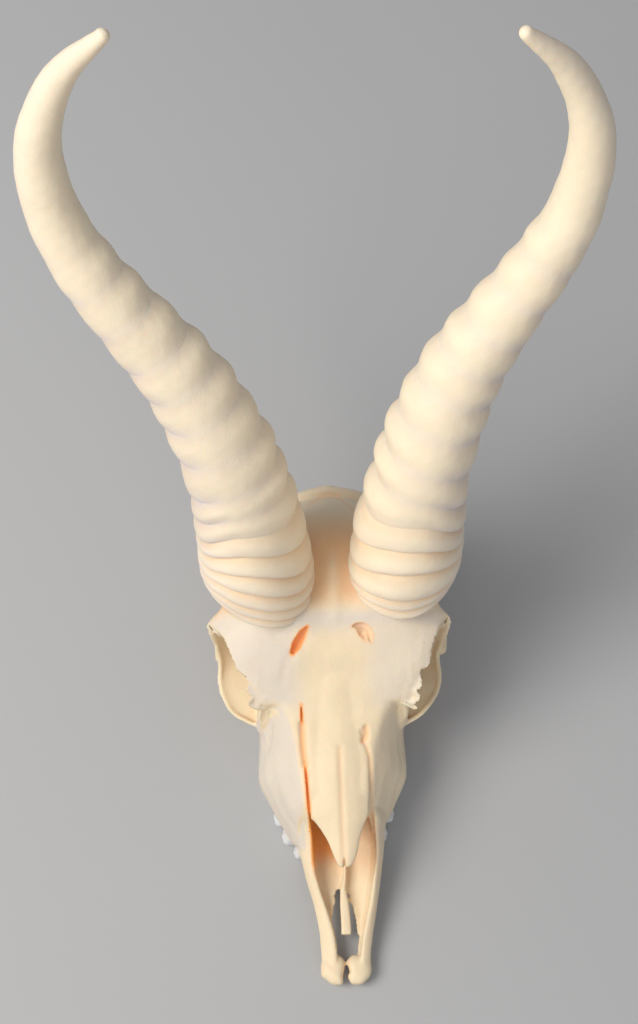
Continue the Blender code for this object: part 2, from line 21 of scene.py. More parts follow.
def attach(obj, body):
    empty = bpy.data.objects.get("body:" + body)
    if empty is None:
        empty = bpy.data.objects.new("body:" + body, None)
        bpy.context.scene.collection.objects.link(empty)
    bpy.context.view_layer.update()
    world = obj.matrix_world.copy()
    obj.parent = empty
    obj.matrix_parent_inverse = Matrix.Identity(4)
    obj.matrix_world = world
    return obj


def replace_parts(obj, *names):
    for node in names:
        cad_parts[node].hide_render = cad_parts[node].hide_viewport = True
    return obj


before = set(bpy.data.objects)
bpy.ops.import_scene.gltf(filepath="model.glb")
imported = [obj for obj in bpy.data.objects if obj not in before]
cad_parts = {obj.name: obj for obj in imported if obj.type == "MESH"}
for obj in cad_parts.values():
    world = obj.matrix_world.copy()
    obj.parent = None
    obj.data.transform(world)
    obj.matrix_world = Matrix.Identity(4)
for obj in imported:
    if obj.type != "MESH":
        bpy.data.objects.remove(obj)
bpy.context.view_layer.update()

LOG = logging.getLogger("springbok_skull")

Array = np.ndarray
Row = tuple[float, ...]
Rows = tuple[Row, ...]

MM = 0.001
HALF_DEPTH = 118.5
TURN = 2 * math.pi

# How far the face lies off the midline at places along the skull, low down; it fades between two heights.
BEND_PLACES = (30.0, 60.0, 95.0, 120.0, 150.0)
BEND_SHIFTS = (0.8, -2.0, -2.0, -1.5, 0.0)
BEND_HEIGHTS = (40.0, 62.0)


class Side(Enum):
    """The animal's two sides, with the sign that they have along X."""

    LEFT = 1
    RIGHT = -1

    @property
    def word(self) -> str:
        """The side's name in lower case."""
        return self.name.lower()


def bend(points: Array) -> Array:
    """Moves points across by the face's natural bend: shift(y) times a fade from 1 low down to 0 higher up.

    Args:
        points: Millimetres in the straight skull's frame, shaped (..., 3).

    Returns:
        The same points in the bent skull's frame.
    """
    placed = np.array(points, float)
    shift = np.interp(placed[..., 1], BEND_PLACES, BEND_SHIFTS)
    placed[..., 0] += shift * np.interp(placed[..., 2], BEND_HEIGHTS, (1.0, 0.0))
    return placed


def to_metres(points: Array) -> Array:
    """Millimetres in the skull's frame to metres in the row's frame."""
    return (points - (0.0, HALF_DEPTH, 0.0)) * MM


def to_skull(points: Array) -> Array:
    """Metres in the row's frame to millimetres in the skull's frame."""
    return points / MM + (0.0, HALF_DEPTH, 0.0)


def smoothstep(low: float, high: float, value: Array) -> Array:
    """0 below low, 1 above high, and t*t*(3 - 2t) between, where t is the share of the way."""
    t = np.clip((value - low) / (high - low), 0.0, 1.0)
    return t * t * (3 - 2 * t)


@dataclass(frozen=True)
class Fade:
    """A change between two values of a measure."""

    low: float
    high: float

    def rise(self, value: Array) -> Array:
        """0 below low, 1 above high and smooth between."""
        return smoothstep(self.low, self.high, value)

    def fall(self, value: Array) -> Array:
        """1 below low, 0 above high and smooth between."""
        return 1 - smoothstep(self.low, self.high, value)


def bell(distance: Array, width: float | Array) -> Array:
    """exp(-(distance / width)^2)."""
    return np.exp(-((distance / width) ** 2))


def signed_power(value: Array, power: float) -> Array:
    """|value|^power with the sign of value, which squares off a circle when power is under 1."""
    return np.sign(value) * np.abs(value) ** power


def unit(vectors: Array) -> Array:
    """Vectors divided by their lengths along the last axis."""
    return vectors / np.maximum(np.linalg.norm(vectors, axis=-1, keepdims=True), 1e-12)


def spline(stations: Array, steps: int, closed: bool = False) -> Array:
    """A Catmull-Rom curve through stations along the first axis, with steps points in each stretch.

    With t from 0 to 1 between b and c, and neighbours a and d, each point is
    (2b + (c - a)t + (2a - 5b + 4c - d)t^2 + (3b - 3c + d - a)t^3) / 2.

    Args:
        stations: Points or rows of points, shaped (n, ...).
        steps: Points in each stretch.
        closed: Whether the last station joins the first.

    Returns:
        The curve, shaped (n * steps, ...) when closed and with the last station added when open.
    """
    points = np.asarray(stations, float)
    if closed:
        ends = np.concatenate((points[-1:], points, points[:2]))
    else:
        ends = np.concatenate((2 * points[:1] - points[1:2], points, 2 * points[-1:] - points[-2:-1]))
    a, b, c, d = (part[:, None] for part in (ends[:-3], ends[1:-2], ends[2:-1], ends[3:]))
    t = np.linspace(0.0, 1.0, steps, endpoint=False).reshape((1, -1) + (1,) * (points.ndim - 1))
    curve = 2 * b + (c - a) * t + (2 * a - 5 * b + 4 * c - d) * t**2 + (3 * b - 3 * c + d - a) * t**3
    curve = 0.5 * curve.reshape((-1,) + points.shape[1:])
    return curve if closed else np.concatenate((curve, points[-1:]))


def lengths_along(points: Array) -> Array:
    """The distance of each point of a curve from its first point, along the curve."""
    steps = np.linalg.norm(np.diff(points[:, :3], axis=0), axis=1)
    return np.concatenate(([0.0], np.cumsum(steps)))


@dataclass
class Shell:
    """A closed skin: its points in millimetres, its four-sided faces and its triangles."""

    points: Array
    quads: Array
    tris: Array

    def volume(self) -> float:
        """Six times the signed volume: the sum of a . (b x c) over all triangles.

        Returns:
            A number above 0 where the faces point outwards.
        """
        halves = np.concatenate((self.tris, self.quads[:, :3], self.quads[:, (0, 2, 3)]))
        a, b, c = (self.points[halves[:, i]] for i in range(3))
        return float(np.einsum("ij,ij->", a, np.cross(b, c)))

    def outward(self) -> "Shell":
        """Turns the faces to point outwards.

        Returns:
            This skin, or a turned copy of it.
        """
        if self.volume() > 0:
            return self
        return Shell(self.points, self.quads[:, ::-1], self.tris[:, ::-1])


def merge(shells: list[Shell]) -> Shell:
    """Several skins as one, each with its point numbers moved past those before it.

    Args:
        shells: The skins.

    Returns:
        The one skin.
    """
    starts = np.cumsum([0] + [len(shell.points) for shell in shells[:-1]])
    return Shell(
        np.concatenate([shell.points for shell in shells]),
        np.concatenate([shell.quads + start for shell, start in zip(shells, starts)]),
        np.concatenate([shell.tris + start for shell, start in zip(shells, starts)]),
    )


def skin(rings: Array) -> Shell:
    """A closed tube over rings: faces between neighbouring rings and a fan to each end's middle.

    Args:
        rings: Points on a grid, shaped (rows, around, 3), each row a closed ring.

    Returns:
        The skin, with its faces outwards.
    """
    rows, around = rings.shape[:2]
    index = np.arange(rows * around).reshape(rows, around)
    lower, upper = index[:-1], index[1:]
    quads = np.stack((lower, np.roll(lower, -1, 1), np.roll(upper, -1, 1), upper), -1).reshape(-1, 4)
    middles = np.stack((rings[0].mean(0), rings[-1].mean(0)))
    start = np.stack((np.full(around, rows * around), np.roll(index[0], -1), index[0]), -1)
    end = np.stack((np.full(around, rows * around + 1), index[-1], np.roll(index[-1], -1)), -1)
    points = np.concatenate((rings.reshape(-1, 3), middles))
    return Shell(points, quads, np.concatenate((start, end))).outward()


def ball(centre: Row, radii: Row, lean: float) -> Shell:
    """A stretched ball: centre + radii * (sin v cos u, sin v sin u, cos v), leaned about X by degrees.

    Args:
        centre: Middle of the ball.
        radii: Half-widths along X, Y and Z before it leans.
        lean: Turn about the X axis, in degrees.

    Returns:
        The ball's skin, in the bent frame.
    """
    pole, rows, around = 0.06, 15, 28
    v = np.linspace(pole, math.pi - pole, rows)[:, None]
    u = np.linspace(0.0, TURN, around, endpoint=False)[None]
    grid = np.stack((np.sin(v) * np.cos(u), np.sin(v) * np.sin(u), np.cos(v) + 0 * u), -1) * radii
    turn = np.array(Matrix.Rotation(math.radians(lean), 3, "X"))
    return skin(bend(grid @ turn.T + centre))


def bar(stations: Rows, flat: float = 1.0, bent: bool = False) -> Shell:
    """A round bar: centre(t) + radius(t) * (cos u * side + sin u * up * flat), with blunt round ends.

    Args:
        stations: Centre and radius of each station.
        flat: The bar's height against its width.
        bent: Whether the stations are already in the bent frame.

    Returns:
        The bar's skin.
    """
    bluntness, end_rings, around = 0.6, 4, 20
    curve = spline(np.array(stations, float), steps=6)
    along = unit(np.gradient(curve[:, :3], axis=0))
    turn = np.linspace(0.15, 1.0, end_rings) * math.pi / 2
    radius = curve[:, 3]
    start = curve[:1, :3] - along[:1] * (radius[0] * np.cos(turn))[:, None] * bluntness
    end = curve[-1:, :3] + along[-1:] * (radius[-1] * np.cos(turn[::-1]))[:, None] * bluntness
    centre = np.concatenate((start, curve[:, :3], end))
    radius = np.concatenate((radius[0] * np.sin(turn), radius, radius[-1] * np.sin(turn[::-1])))
    along = np.concatenate((np.repeat(along[:1], end_rings, 0), along, np.repeat(along[-1:], end_rings, 0)))
    up = unit(np.array((0.0, 1e-3, 1.0)) - along * along[:, 2:])
    side = np.cross(up, along)
    u = np.linspace(0.0, TURN, around, endpoint=False)
    ring = np.cos(u)[:, None] * side[:, None] + (np.sin(u) * flat)[:, None] * up[:, None]
    rings = centre[:, None] + radius[:, None, None] * ring
    return skin(rings if bent else bend(rings))


def sections(rows: tuple[tuple[float, Rows], ...]) -> Shell:
    """A form that is the same on both sides of the midline, as a curved grid through its outlines.

    Each outline of (x, z) runs from the top of the midline to the bottom and is mirrored in X. A closed
    Catmull-Rom curve runs through it, and open ones run along Y from outline to outline.

    Args:
        rows: The place along Y of each outline, and the outline.

    Returns:
        The form's skin.
    """
    half = np.array([outline for _, outline in rows], float)
    ring = np.concatenate((half, half[:, -2:0:-1] * (-1.0, 1.0)), axis=1)
    place = np.array([y for y, _ in rows])[:, None] + np.zeros(ring.shape[:2])
    grid = np.stack((ring[..., 0], place, ring[..., 1]), -1)
    grid = np.moveaxis(spline(np.moveaxis(grid, 1, 0), steps=4, closed=True), 0, 1)
    return skin(bend(spline(grid, steps=5)))


def object_from(name: str, shell: Shell) -> bpy.types.Object:
    """Puts a skin into a new mesh object at the origin.

    Args:
        name: The object's name.
        shell: Its skin.

    Returns:
        The object, in the scene.
    """
    mesh = bpy.data.meshes.new(name)
    mesh.from_pydata(to_metres(shell.points).tolist(), [], shell.quads.tolist() + shell.tris.tolist())
    mesh.update()
    item = bpy.data.objects.new(name, mesh)
    bpy.context.scene.collection.objects.link(item)
    return item


def bake(item: bpy.types.Object) -> None:
    """Puts an object's modifiers into its mesh.

    Args:
        item: The object.
    """
    graph = bpy.context.evaluated_depsgraph_get()
    graph.update()
    mesh = bpy.data.meshes.new_from_object(item.evaluated_get(graph))
    item.modifiers.clear()
    item.data = mesh


def fuse(item: bpy.types.Object, voxel: float, smoothing: int) -> None:
    """Joins an object's overlapping skins in one and softens it.

    Args:
        item: The object.
        voxel: Size of the grid that the skins are joined on, in millimetres.
        smoothing: How many times it is smoothed.
    """
    remesh = item.modifiers.new("Fuse", "REMESH")
    remesh.mode = "VOXEL"
    remesh.voxel_size = voxel * MM
    relax = item.modifiers.new("Relax", "SMOOTH")
    relax.factor = 0.5
    relax.iterations = smoothing
    bake(item)


def cut_away(item: bpy.types.Object, cutter: bpy.types.Object) -> None:
    """Cuts a form out of an object.

    Args:
        item: The object that stays.
        cutter: The form, which is removed afterwards.
    """
    boolean = item.modifiers.new("Cut", "BOOLEAN")
    boolean.operation = "DIFFERENCE"
    boolean.solver = "MANIFOLD"
    boolean.object = cutter
    bake(item)
    bpy.data.objects.remove(cutter, do_unlink=True)


def read_vectors(mesh: bpy.types.Mesh, name: str) -> Array:
    """Reads three numbers for each of a mesh's vertices.

    Args:
        mesh: The mesh.
        name: The vertices' property.

    Returns:
        The numbers, shaped (n, 3).
    """
    flat = np.empty(len(mesh.vertices) * 3, np.float32)
    mesh.vertices.foreach_get(name, flat)
    return flat.reshape(-1, 3).astype(float)


def read_points(mesh: bpy.types.Mesh) -> Array:
    """The mesh's points in the skull's frame."""
    return to_skull(read_vectors(mesh, "co"))


def read_normals(mesh: bpy.types.Mesh) -> Array:
    """The mesh's outward directions at its points."""
    return read_vectors(mesh, "normal")


def write_points(mesh: bpy.types.Mesh, points: Array) -> None:
    """Moves the mesh's points to places in the skull's frame."""
    mesh.vertices.foreach_set("co", to_metres(points).astype(np.float32).ravel())
    mesh.update()


def write_tint(mesh: bpy.types.Mesh, warm: Array, cool: Array, tan: Array) -> None:
    """Keeps three shares for each point as the colour attribute that the finishes read. On the bone and
    horns the shares are painted glow and painted shade.

    Args:
        mesh: The mesh.
        warm: Share of the warm colour, kept as red.
        cool: Share of the cool colour, kept as green.
        tan: Share of the tan colour, kept as blue.
    """
    tint = mesh.attributes.new("tint", "FLOAT_COLOR", "POINT")
    colour = np.stack((warm, cool, tan, np.ones_like(warm)), -1)
    tint.data.foreach_set("color", np.clip(colour, 0.0, 1.0).astype(np.float32).ravel())


def path_distance(points: Array, path: Array) -> tuple[Array, Array]:
    """How far each point is from a path of straight stretches, and where along the path that is.

    On each stretch the nearest place is at t = (p - a) . (b - a) / |b - a|^2, kept between 0 and 1.

    Args:
        points: Points shaped (n, 3), or (n, 2) for a path seen from above.
        path: Places of the path, with as many numbers each as the points have.

    Returns:
        The distance to the nearest stretch, and the length along the path to the nearest place.
    """
    places = np.array(path, float)
    lengths = lengths_along(np.pad(places, ((0, 0), (0, 3 - places.shape[1]))))
    best = np.full(len(points), np.inf)
    where = np.zeros(len(points))
    for a, b, start, end in zip(places, places[1:], lengths, lengths[1:]):
        t = np.clip((points - a) @ (b - a) / ((b - a) @ (b - a)), 0.0, 1.0)
        distance = np.linalg.norm(points - a - t[:, None] * (b - a), axis=1)
        nearer = distance < best
        best = np.where(nearer, distance, best)
        where = np.where(nearer, start + t * (end - start), where)
    return best, where


def wave_noise(points: Array, size: float, seed: int) -> Array:
    """Smooth noise between about -1 and 1: 2.4 times the mean of 12 sine waves in random directions.

    Args:
        points: Points shaped (n, 3).
        size: Usual distance from crest to crest, in millimetres; each wave's differs by a little.
        seed: Picks the directions and phases.

    Returns:
        One value for each point.
    """
    waves, gain = 12, 2.4
    draw = np.random.default_rng(seed)
    ways = unit(draw.normal(size=(waves, 3))) * draw.uniform(0.7, 1.4, (waves, 1)) * TURN / size
    phases = draw.uniform(0.0, TURN, waves)
    return np.sin(points @ ways.T + phases).mean(axis=1) * gain


def nearness(mesh: bpy.types.Mesh, points: Array, normals: Array, reach: float) -> Array:
    """How much surface lies round a place just above each point: 1 on a flat, more in a hollow.

    The area of every face is added to a grid, the grid is blurred by a bell curve of width reach, and
    it is read at point + reach * normal.

    Args:
        mesh: The mesh whose faces count.
        points: Its points in millimetres.
        normals: Its outward directions.
        reach: Width of the blur in millimetres.

    Returns:
        One value for each point, divided by the middle value of all.
    """
    count = len(mesh.polygons)
    centres = np.empty(count * 3, np.float32)
    areas = np.empty(count, np.float32)
    mesh.polygons.foreach_get("center", centres)
    mesh.polygons.foreach_get("area", areas)
    centres = to_skull(centres.reshape(-1, 3).astype(float))
    cell = reach / 2.5
    margin = 4 * reach
    low = points.min(0) - margin
    shape = np.ceil((points.max(0) + margin - low) / cell).astype(int)
    grid = np.zeros(shape)
    np.add.at(grid, tuple(((centres - low) / cell).astype(int).T), areas)
    ways = np.meshgrid(*(np.fft.fftfreq(n, cell) for n in shape), indexing="ij")
    blur = np.exp(-2 * (math.pi * reach) ** 2 * sum(way**2 for way in ways))
    grid = np.fft.ifftn(np.fft.fftn(grid) * blur).real
    place = (points + normals * reach - low) / cell - 0.5
    base = place.astype(int)
    part = place - base
    total = np.zeros(len(points))
    for corner in np.ndindex(2, 2, 2):
        weight = np.prod(np.where(corner, part, 1 - part), axis=1)
        total += weight * grid[tuple((base + corner).T)]
    return total / np.median(total)


# Cheek teeth: name, front edge, length, outer edge and the crown's width.
TOOTH_ROW = (
    ("premolar_2", 51.5, 6.0, 18.0, 5.4),
    ("premolar_3", 57.5, 7.8, 22.2, 6.6),
    ("premolar_4", 65.3, 8.7, 25.4, 7.8),
    ("molar_1", 74.0, 12.0, 27.8, 9.4),
    ("molar_2", 86.0, 13.0, 29.2, 10.2),
    ("molar_3", 99.0, 13.5, 29.0, 9.6),
)

# Horns: stations from base to tip, each with its centre and its half-width.
HORN_PATHS = {
    "horn_right": (
        (-28.8, 148.7, 89.6, 18.6),
        (-29.1, 152.3, 102.8, 20.4),
        (-29.2, 156.4, 116.2, 20.0),
        (-31.7, 165.2, 141.7, 18.2),
        (-37.3, 175.4, 166.3, 16.6),
        (-47.0, 186.3, 189.7, 14.7),
        (-60.3, 196.3, 211.4, 12.6),
        (-74.2, 206.2, 232.7, 10.8),
        (-83.9, 217.0, 256.1, 8.9),
        (-84.5, 226.6, 281.4, 7.2),
        (-74.8, 232.1, 306.3, 5.0),
        (-58.1, 231.8, 328.0, 2.0),
    ),
    "horn_left": (
        (28.8, 149.7, 89.9, 18.6),
        (29.6, 153.1, 102.8, 20.4),
        (30.0, 157.1, 115.7, 20.0),
        (32.9, 165.8, 140.9, 17.9),
        (37.9, 176.0, 164.8, 16.5),
        (46.3, 187.0, 187.6, 14.6),
        (58.8, 197.1, 208.6, 12.4),
        (72.2, 206.8, 229.5, 10.7),
        (82.2, 216.7, 252.1, 8.8),
        (83.9, 226.0, 277.0, 7.1),
        (74.9, 231.6, 301.5, 5.0),
        (58.7, 231.6, 322.3, 2.0),
    ),
}

# The muzzle and the braincase: places along Y, with half outlines (x, z) from the top to the bottom.
MUZZLE_SECTIONS = (
    (55.0, ((0, 24), (9, 24), (14, 23), (16, 19), (17, 15), (16, 9), (11, 9), (8, 11), (0, 12))),
    (60.0, ((0, 33), (9, 33), (13.5, 32), (16.5, 26), (19, 17), (19, 9), (12, 9), (8.5, 12), (0, 13))),
    (
        65.0,
        ((0, 43), (9, 43.5), (13.5, 42), (18.5, 32), (22, 19),
         (21.5, 9), (14, 9), (9, 12.5), (0, 13.5)),
    ),
    (70.0, ((0, 49), (10, 48.5), (14.5, 46), (21, 34), (25, 20), (23.8, 9), (15, 9), (10, 13), (0, 14))),
    (80.0, ((0, 53), (11, 52.5), (16, 50), (25, 38), (30.3, 24), (27, 9), (16, 9), (11, 14), (0, 15.5))),
    (90.0, ((0, 57.5), (12, 57.5), (18, 55), (25, 43), (29.6, 28), (29, 9), (17, 9), (12, 15), (0, 17))),
    (98.0, ((0, 62), (13, 62), (20, 60), (26, 48), (29.3, 33), (29, 9), (17.5, 9), (12, 16), (0, 18))),
    (
        106.0,
        ((0, 66.5), (14, 66.5), (24, 65), (28, 52), (30, 38),
         (29, 9), (17.5, 9), (12, 17), (0, 18.5)),
    ),
    (114.0, ((0, 71), (15, 71), (26, 70), (27, 55), (29, 40), (28, 9), (17, 9), (12, 17.5), (0, 19))),
    (119.0, ((0, 74), (15, 74), (24, 70), (22, 54), (24, 40), (23, 16), (15, 14), (10, 19), (0, 20))),
)
CRANIUM_SECTIONS = (
    (103.0, ((0, 65), (14, 65), (26, 63), (33.5, 58), (33, 54), (24, 50), (20, 40), (16, 24), (0, 22))),
    (
        111.0,
        ((0, 70), (16, 70.5), (28, 71), (34.8, 69), (35.5, 64),
         (26, 55), (22, 42), (14, 24), (0, 22)),
    ),
    (
        119.0,
        ((0, 76.5), (16, 77), (31, 77), (39, 74.5), (39, 70.5),
         (26, 58), (22, 44), (13, 26), (0, 25)),
    ),
    (
        127.0,
        ((0, 82), (16, 82.5), (32, 81.5), (44.5, 75.5), (44.5, 70.5),
         (28, 60), (23, 46), (13, 27), (0, 26)),
    ),
    (
        134.0,
        ((0, 86.5), (16, 87.5), (32, 85), (48.3, 73), (48, 68),
         (30, 60), (25, 46), (13, 28), (0, 27)),
    ),
    (141.0, ((0, 89), (16, 89.5), (31, 88), (42, 78), (41, 68), (30, 58), (27, 46), (14, 28), (0, 27))),
    (
        148.0,
        ((0, 90.5), (16, 90.5), (30, 88), (36, 78), (33, 66),
         (31, 56), (27, 44), (14, 28), (0, 27)),
    ),
    (
        158.0,
        ((0, 92), (15, 90.5), (26, 84), (31, 74), (32, 62),
         (30, 50), (24, 38), (14, 28), (0, 26.5)),
    ),
    (
        168.0,
        ((0, 90.2), (13, 87.2), (23, 80), (30, 72), (31.5, 60),
         (29, 48), (23, 37), (13, 28), (0, 26.5)),
    ),
    (
        177.0,
        ((0, 84), (12, 80.7), (20, 73.5), (26.5, 65), (29, 57),
         (27, 46), (21, 36), (12, 29), (0, 27)),
    ),
    (
        185.0,
        ((0, 74), (10, 71), (17, 65.5), (22.5, 59), (24, 53),
         (22, 44), (17, 36), (10, 30), (0, 28)),
    ),
    (191.0, ((0, 64), (8, 62), (14, 58), (17.5, 52), (17, 46), (14, 40), (10, 35), (6, 32), (0, 31))),
)
# Nasal plate: place along Y, middle and half-width across, top and thickness.
NASAL_STATIONS = (
    (42.4, 2.1, 1.0, 37.4, 2.2),
    (43.4, 2.2, 2.6, 38.3, 2.5),
    (46.0, 2.6, 4.1, 39.8, 2.8),
    (49.5, 2.7, 5.4, 41.4, 3.0),
    (53.0, 2.6, 6.5, 43.0, 3.0),
    (57.0, 2.5, 8.3, 44.9, 3.0),
    (60.5, 2.3, 10.3, 46.6, 3.0),
    (61.5, 1.5, 11.6, 47.0, 3.0),
    (66.0, 1.2, 12.2, 49.0, 3.0),
    (80.0, 1.1, 12.6, 54.6, 3.0),
    (96.0, 0.3, 13.6, 62.0, 3.0),
    (112.0, 0.0, 14.5, 71.0, 3.0),
)
# Round bars on each side: stations of centre and radius.
BAR_SHAPES = {
    "cheek_arch": (
        (44.0, 128, 45, 3.4),
        (44.2, 136, 45, 3.6),
        (42.0, 146, 44, 3.3),
        (37.5, 156, 43.5, 3.4),
        (30.0, 163, 43.5, 4.4),
    ),
    "front_of_rim": (
        (27.5, 99.5, 40, 3.0),
        (28.0, 101.5, 49, 2.6),
        (28.0, 104.0, 57, 2.4),
        (27.5, 107.5, 64, 2.6),
    ),
    "rear_foot": (
        (23.5, 176, 40, 5.6),
        (23.0, 177, 27, 4.8),
        (21.5, 175.5, 13, 3.8),
        (20.5, 173, 1.8, 2.8),
    ),
    "crest_side": (
        (0.0, 190.5, 68.5, 2.6),
        (14.0, 187.5, 65.5, 2.6),
        (25.0, 180.5, 55, 2.4),
        (26.0, 177, 42, 3.0),
    ),
}
# Bars under the palate, higher than wide, and the one that closes the skull's floor on the midline.
PALATE_WING = (
    (11.0, 104, 16, 2.4),
    (10.8, 118, 17, 2.4),
    (12.0, 136, 24, 2.8),
)
PALATE_WING_HEIGHT = 3.0
BAR_HEIGHT = 1.1
SKULL_FLOOR = (
    (0.0, 132, 27, 5.5),
    (0.0, 160, 26, 6.5),
    (0.0, 184, 28, 8.0),
)
# Bars that carry the horns and join the cheek arch to the braincase.
HORN_CORE = (
    (26.0, 143, 60, 15),
    (27.5, 147, 76, 17),
    (28.8, 150, 97, 17),
)
ARCH_ROOT = (
    (26.0, 160, 44, 8),
    (31.0, 161, 43, 5),
)
# Balls added to the bulk on each side: centre, radii and lean in degrees.
EAR_BULGE = ((17.0, 158, 21), (7.5, 11, 9), 0)
NECK_KNUCKLE = ((9.5, 189, 32), (7, 8, 9), -20)
# Hollows: balls, the way back through the orbit, and the nasal cavity's sections, each with its place
# along Y, half-width, floor and roof.
SIDE_SCOOPS = (
    ((35.5, 117.5, 55.8), (18, 16, 14), 0),
    ((50.0, 119, 60), (20, 14, 12), 0),
    ((33.0, 90.0, 54), (8.5, 5.5, 10), 0),
)
MIDLINE_SCOOPS = (
    ((0, 129, 14), (9.5, 19, 12.5), 0),
    ((0, 192, 43), (8, 14, 7.5), 0),
)
TEMPLE_WAY = (
    (37, 128, 52, 10),
    (36, 140, 48, 9),
    (40, 152, 46, 7),
)
NASAL_CAVITY = (
    (46.0, 15.0, 10.4, 35.0),
    (52.0, 15.2, 10.8, 37.0),
    (58.0, 15.0, 11.4, 39.0),
    (66.0, 13.6, 12.6, 44.0),
    (78.0, 12.0, 18.0, 49.5),
    (92.0, 11.5, 21.0, 55.0),
    (104.0, 8.0, 28.0, 56.0),
)
CAVITY_POWER = 0.5
# The jaw is flat above the crowns: low and high corner.
TOOTH_ROW_BLOCK = ((9, 50, -5), (37, 118, 8.8))
# Walls of the nose opening in the bent frame: place along Y, crest (x, z), outer edge (x, z), underside
# and inner foot.
NOSE_WALLS = {
    Side.RIGHT: (
        (66.0, -12.8, 45.0, -20.0, 22.0, 9.5, -10.8),
        (63.0, -12.6, 41.0, -19.3, 20.5, 9.5, -10.8),
        (60.0, -12.3, 34.0, -18.6, 19.5, 9.5, -10.6),
        (55.2, -12.0, 28.0, -17.6, 18.5, 10.5, -10.4),
        (48.0, -11.7, 23.0, -16.0, 16.8, 10.5, -9.9),
        (42.0, -11.0, 20.3, -14.7, 15.0, 10.0, -9.2),
        (34.6, -8.9, 16.8, -12.7, 12.4, 8.6, -7.3),
        (28.0, -6.8, 14.0, -11.2, 10.6, 7.2, -5.3),
        (20.0, -4.6, 12.2, -9.8, 8.6, 5.4, -3.3),
        (12.0, -3.7, 10.4, -9.2, 7.0, 3.8, -2.6),
        (6.0, -4.0, 9.3, -9.2, 6.0, 2.2, -3.2),
    ),
    Side.LEFT: (
        (71.0, 11.5, 36.0, 17.5, 20.0, 9.5, 11.0),
        (66.0, 13.6, 38.5, 19.4, 21.0, 9.5, 12.0),
        (62.0, 14.8, 37.5, 19.0, 20.5, 9.5, 12.4),
        (58.0, 15.1, 32.5, 18.5, 19.5, 9.5, 12.6),
        (53.4, 15.3, 28.0, 18.0, 18.5, 10.5, 12.8),
        (47.7, 15.0, 23.5, 17.3, 16.8, 10.5, 12.6),
        (39.4, 13.6, 19.5, 15.9, 14.2, 9.8, 11.2),
        (30.0, 11.8, 15.5, 14.2, 11.6, 8.0, 9.4),
        (18.6, 8.8, 12.0, 12.1, 9.0, 5.4, 6.4),
        (10.0, 7.6, 9.9, 11.0, 7.2, 3.8, 5.4),
        (5.0, 7.4, 9.2, 10.8, 6.0, 2.4, 5.2),
    ),
}
# Floor of the nose in the bent frame: place along Y, outer edge, inner edge and top.
NOSE_FLOOR = {
    Side.RIGHT: (
        (70.0, -12.5, 1.8, 13.2),
        (55.0, -12.0, 1.8, 11.8),
        (44.0, -11.0, 1.6, 10.6),
        (39.0, -10.2, 1.0, 10.2),
        (37.9, -9.9, -0.4, 10.1),
        (37.4, -9.8, -2.6, 10.0),
        (35.5, -9.4, -2.8, 9.8),
        (33.0, -8.8, -3.1, 9.5),
        (28.3, -7.5, -4.2, 9.0),
        (23.2, -6.3, -4.9, 8.3),
    ),
    Side.LEFT: (
        (70.0, 14.5, 0.8, 13.2),
        (55.0, 14.6, 0.8, 11.8),
        (44.0, 14.0, 0.9, 10.6),
        (39.0, 12.8, 1.2, 10.2),
        (37.4, 12.4, 2.4, 10.0),
        (33.0, 11.6, 3.4, 9.4),
        (28.0, 10.4, 5.2, 8.9),
        (22.8, 9.2, 5.8, 8.3),
        (19.2, 8.4, 6.2, 8.0),
    ),
}
# Plate on the midline below the nose opening: place along Y, its two edges and its top.
VOMER = (
    (66.0, 0.9, 2.3, 17.5),
    (46.0, 1.2, 2.2, 15.6),
    (41.0, 0.6, 2.0, 14.6),
    (37.0, -0.6, 1.8, 13.8),
    (33.0, -0.75, 2.4, 13.2),
    (28.0, -0.8, 3.0, 12.3),
    (23.0, -0.8, 3.3, 11.5),
    (19.3, -0.95, 3.3, 10.9),
)
# Broken edge of the shelf above each eye, from the outer corner forwards.
SHELF_EDGES = {
    Side.RIGHT: (
        (-48.7, 134.3, 73.0),
        (-47.2, 132.9, 73.8),
        (-43.6, 128.7, 75.0),
        (-41.3, 123.7, 75.0),
        (-39.5, 119.1, 74.0),
        (-37.6, 115.3, 72.5),
        (-34.7, 112.9, 70.5),
        (-33.6, 110.8, 69.0),
        (-34.5, 108.5, 67.0),
        (-32.7, 106.1, 65.0),
        (-34.2, 104.2, 62.5),
        (-31.8, 102.4, 60.5),
        (-29.0, 103.6, 61.0),
    ),
    Side.LEFT: (
        (45.2, 133.4, 73.5),
        (42.5, 129.6, 75.0),
        (41.5, 127.1, 75.0),
        (39.7, 123.9, 75.0),
        (38.4, 120.0, 74.0),
        (37.8, 116.4, 73.0),
        (36.6, 114.0, 71.5),
        (34.7, 113.6, 70.5),
        (33.8, 112.4, 70.0),
        (34.3, 109.5, 69.0),
        (34.0, 106.9, 67.5),
        (32.2, 106.1, 66.5),
        (33.6, 103.6, 65.0),
        (31.6, 102.0, 63.0),
        (31.0, 100.6, 61.5),
        (29.3, 101.2, 61.0),
        (27.6, 103.0, 61.5),
    ),
}
# Outline of the left shelf's rear corner, which is narrower than the right one's.
CORNER_CUT = (
    (39.0, 141.0, 72.0),
    (41.5, 137.9, 72.0),
    (43.9, 135.7, 72.0),
    (46.5, 133.6, 72.0),
    (47.1, 132.2, 72.0),
    (47.0, 130.0, 72.0),
)
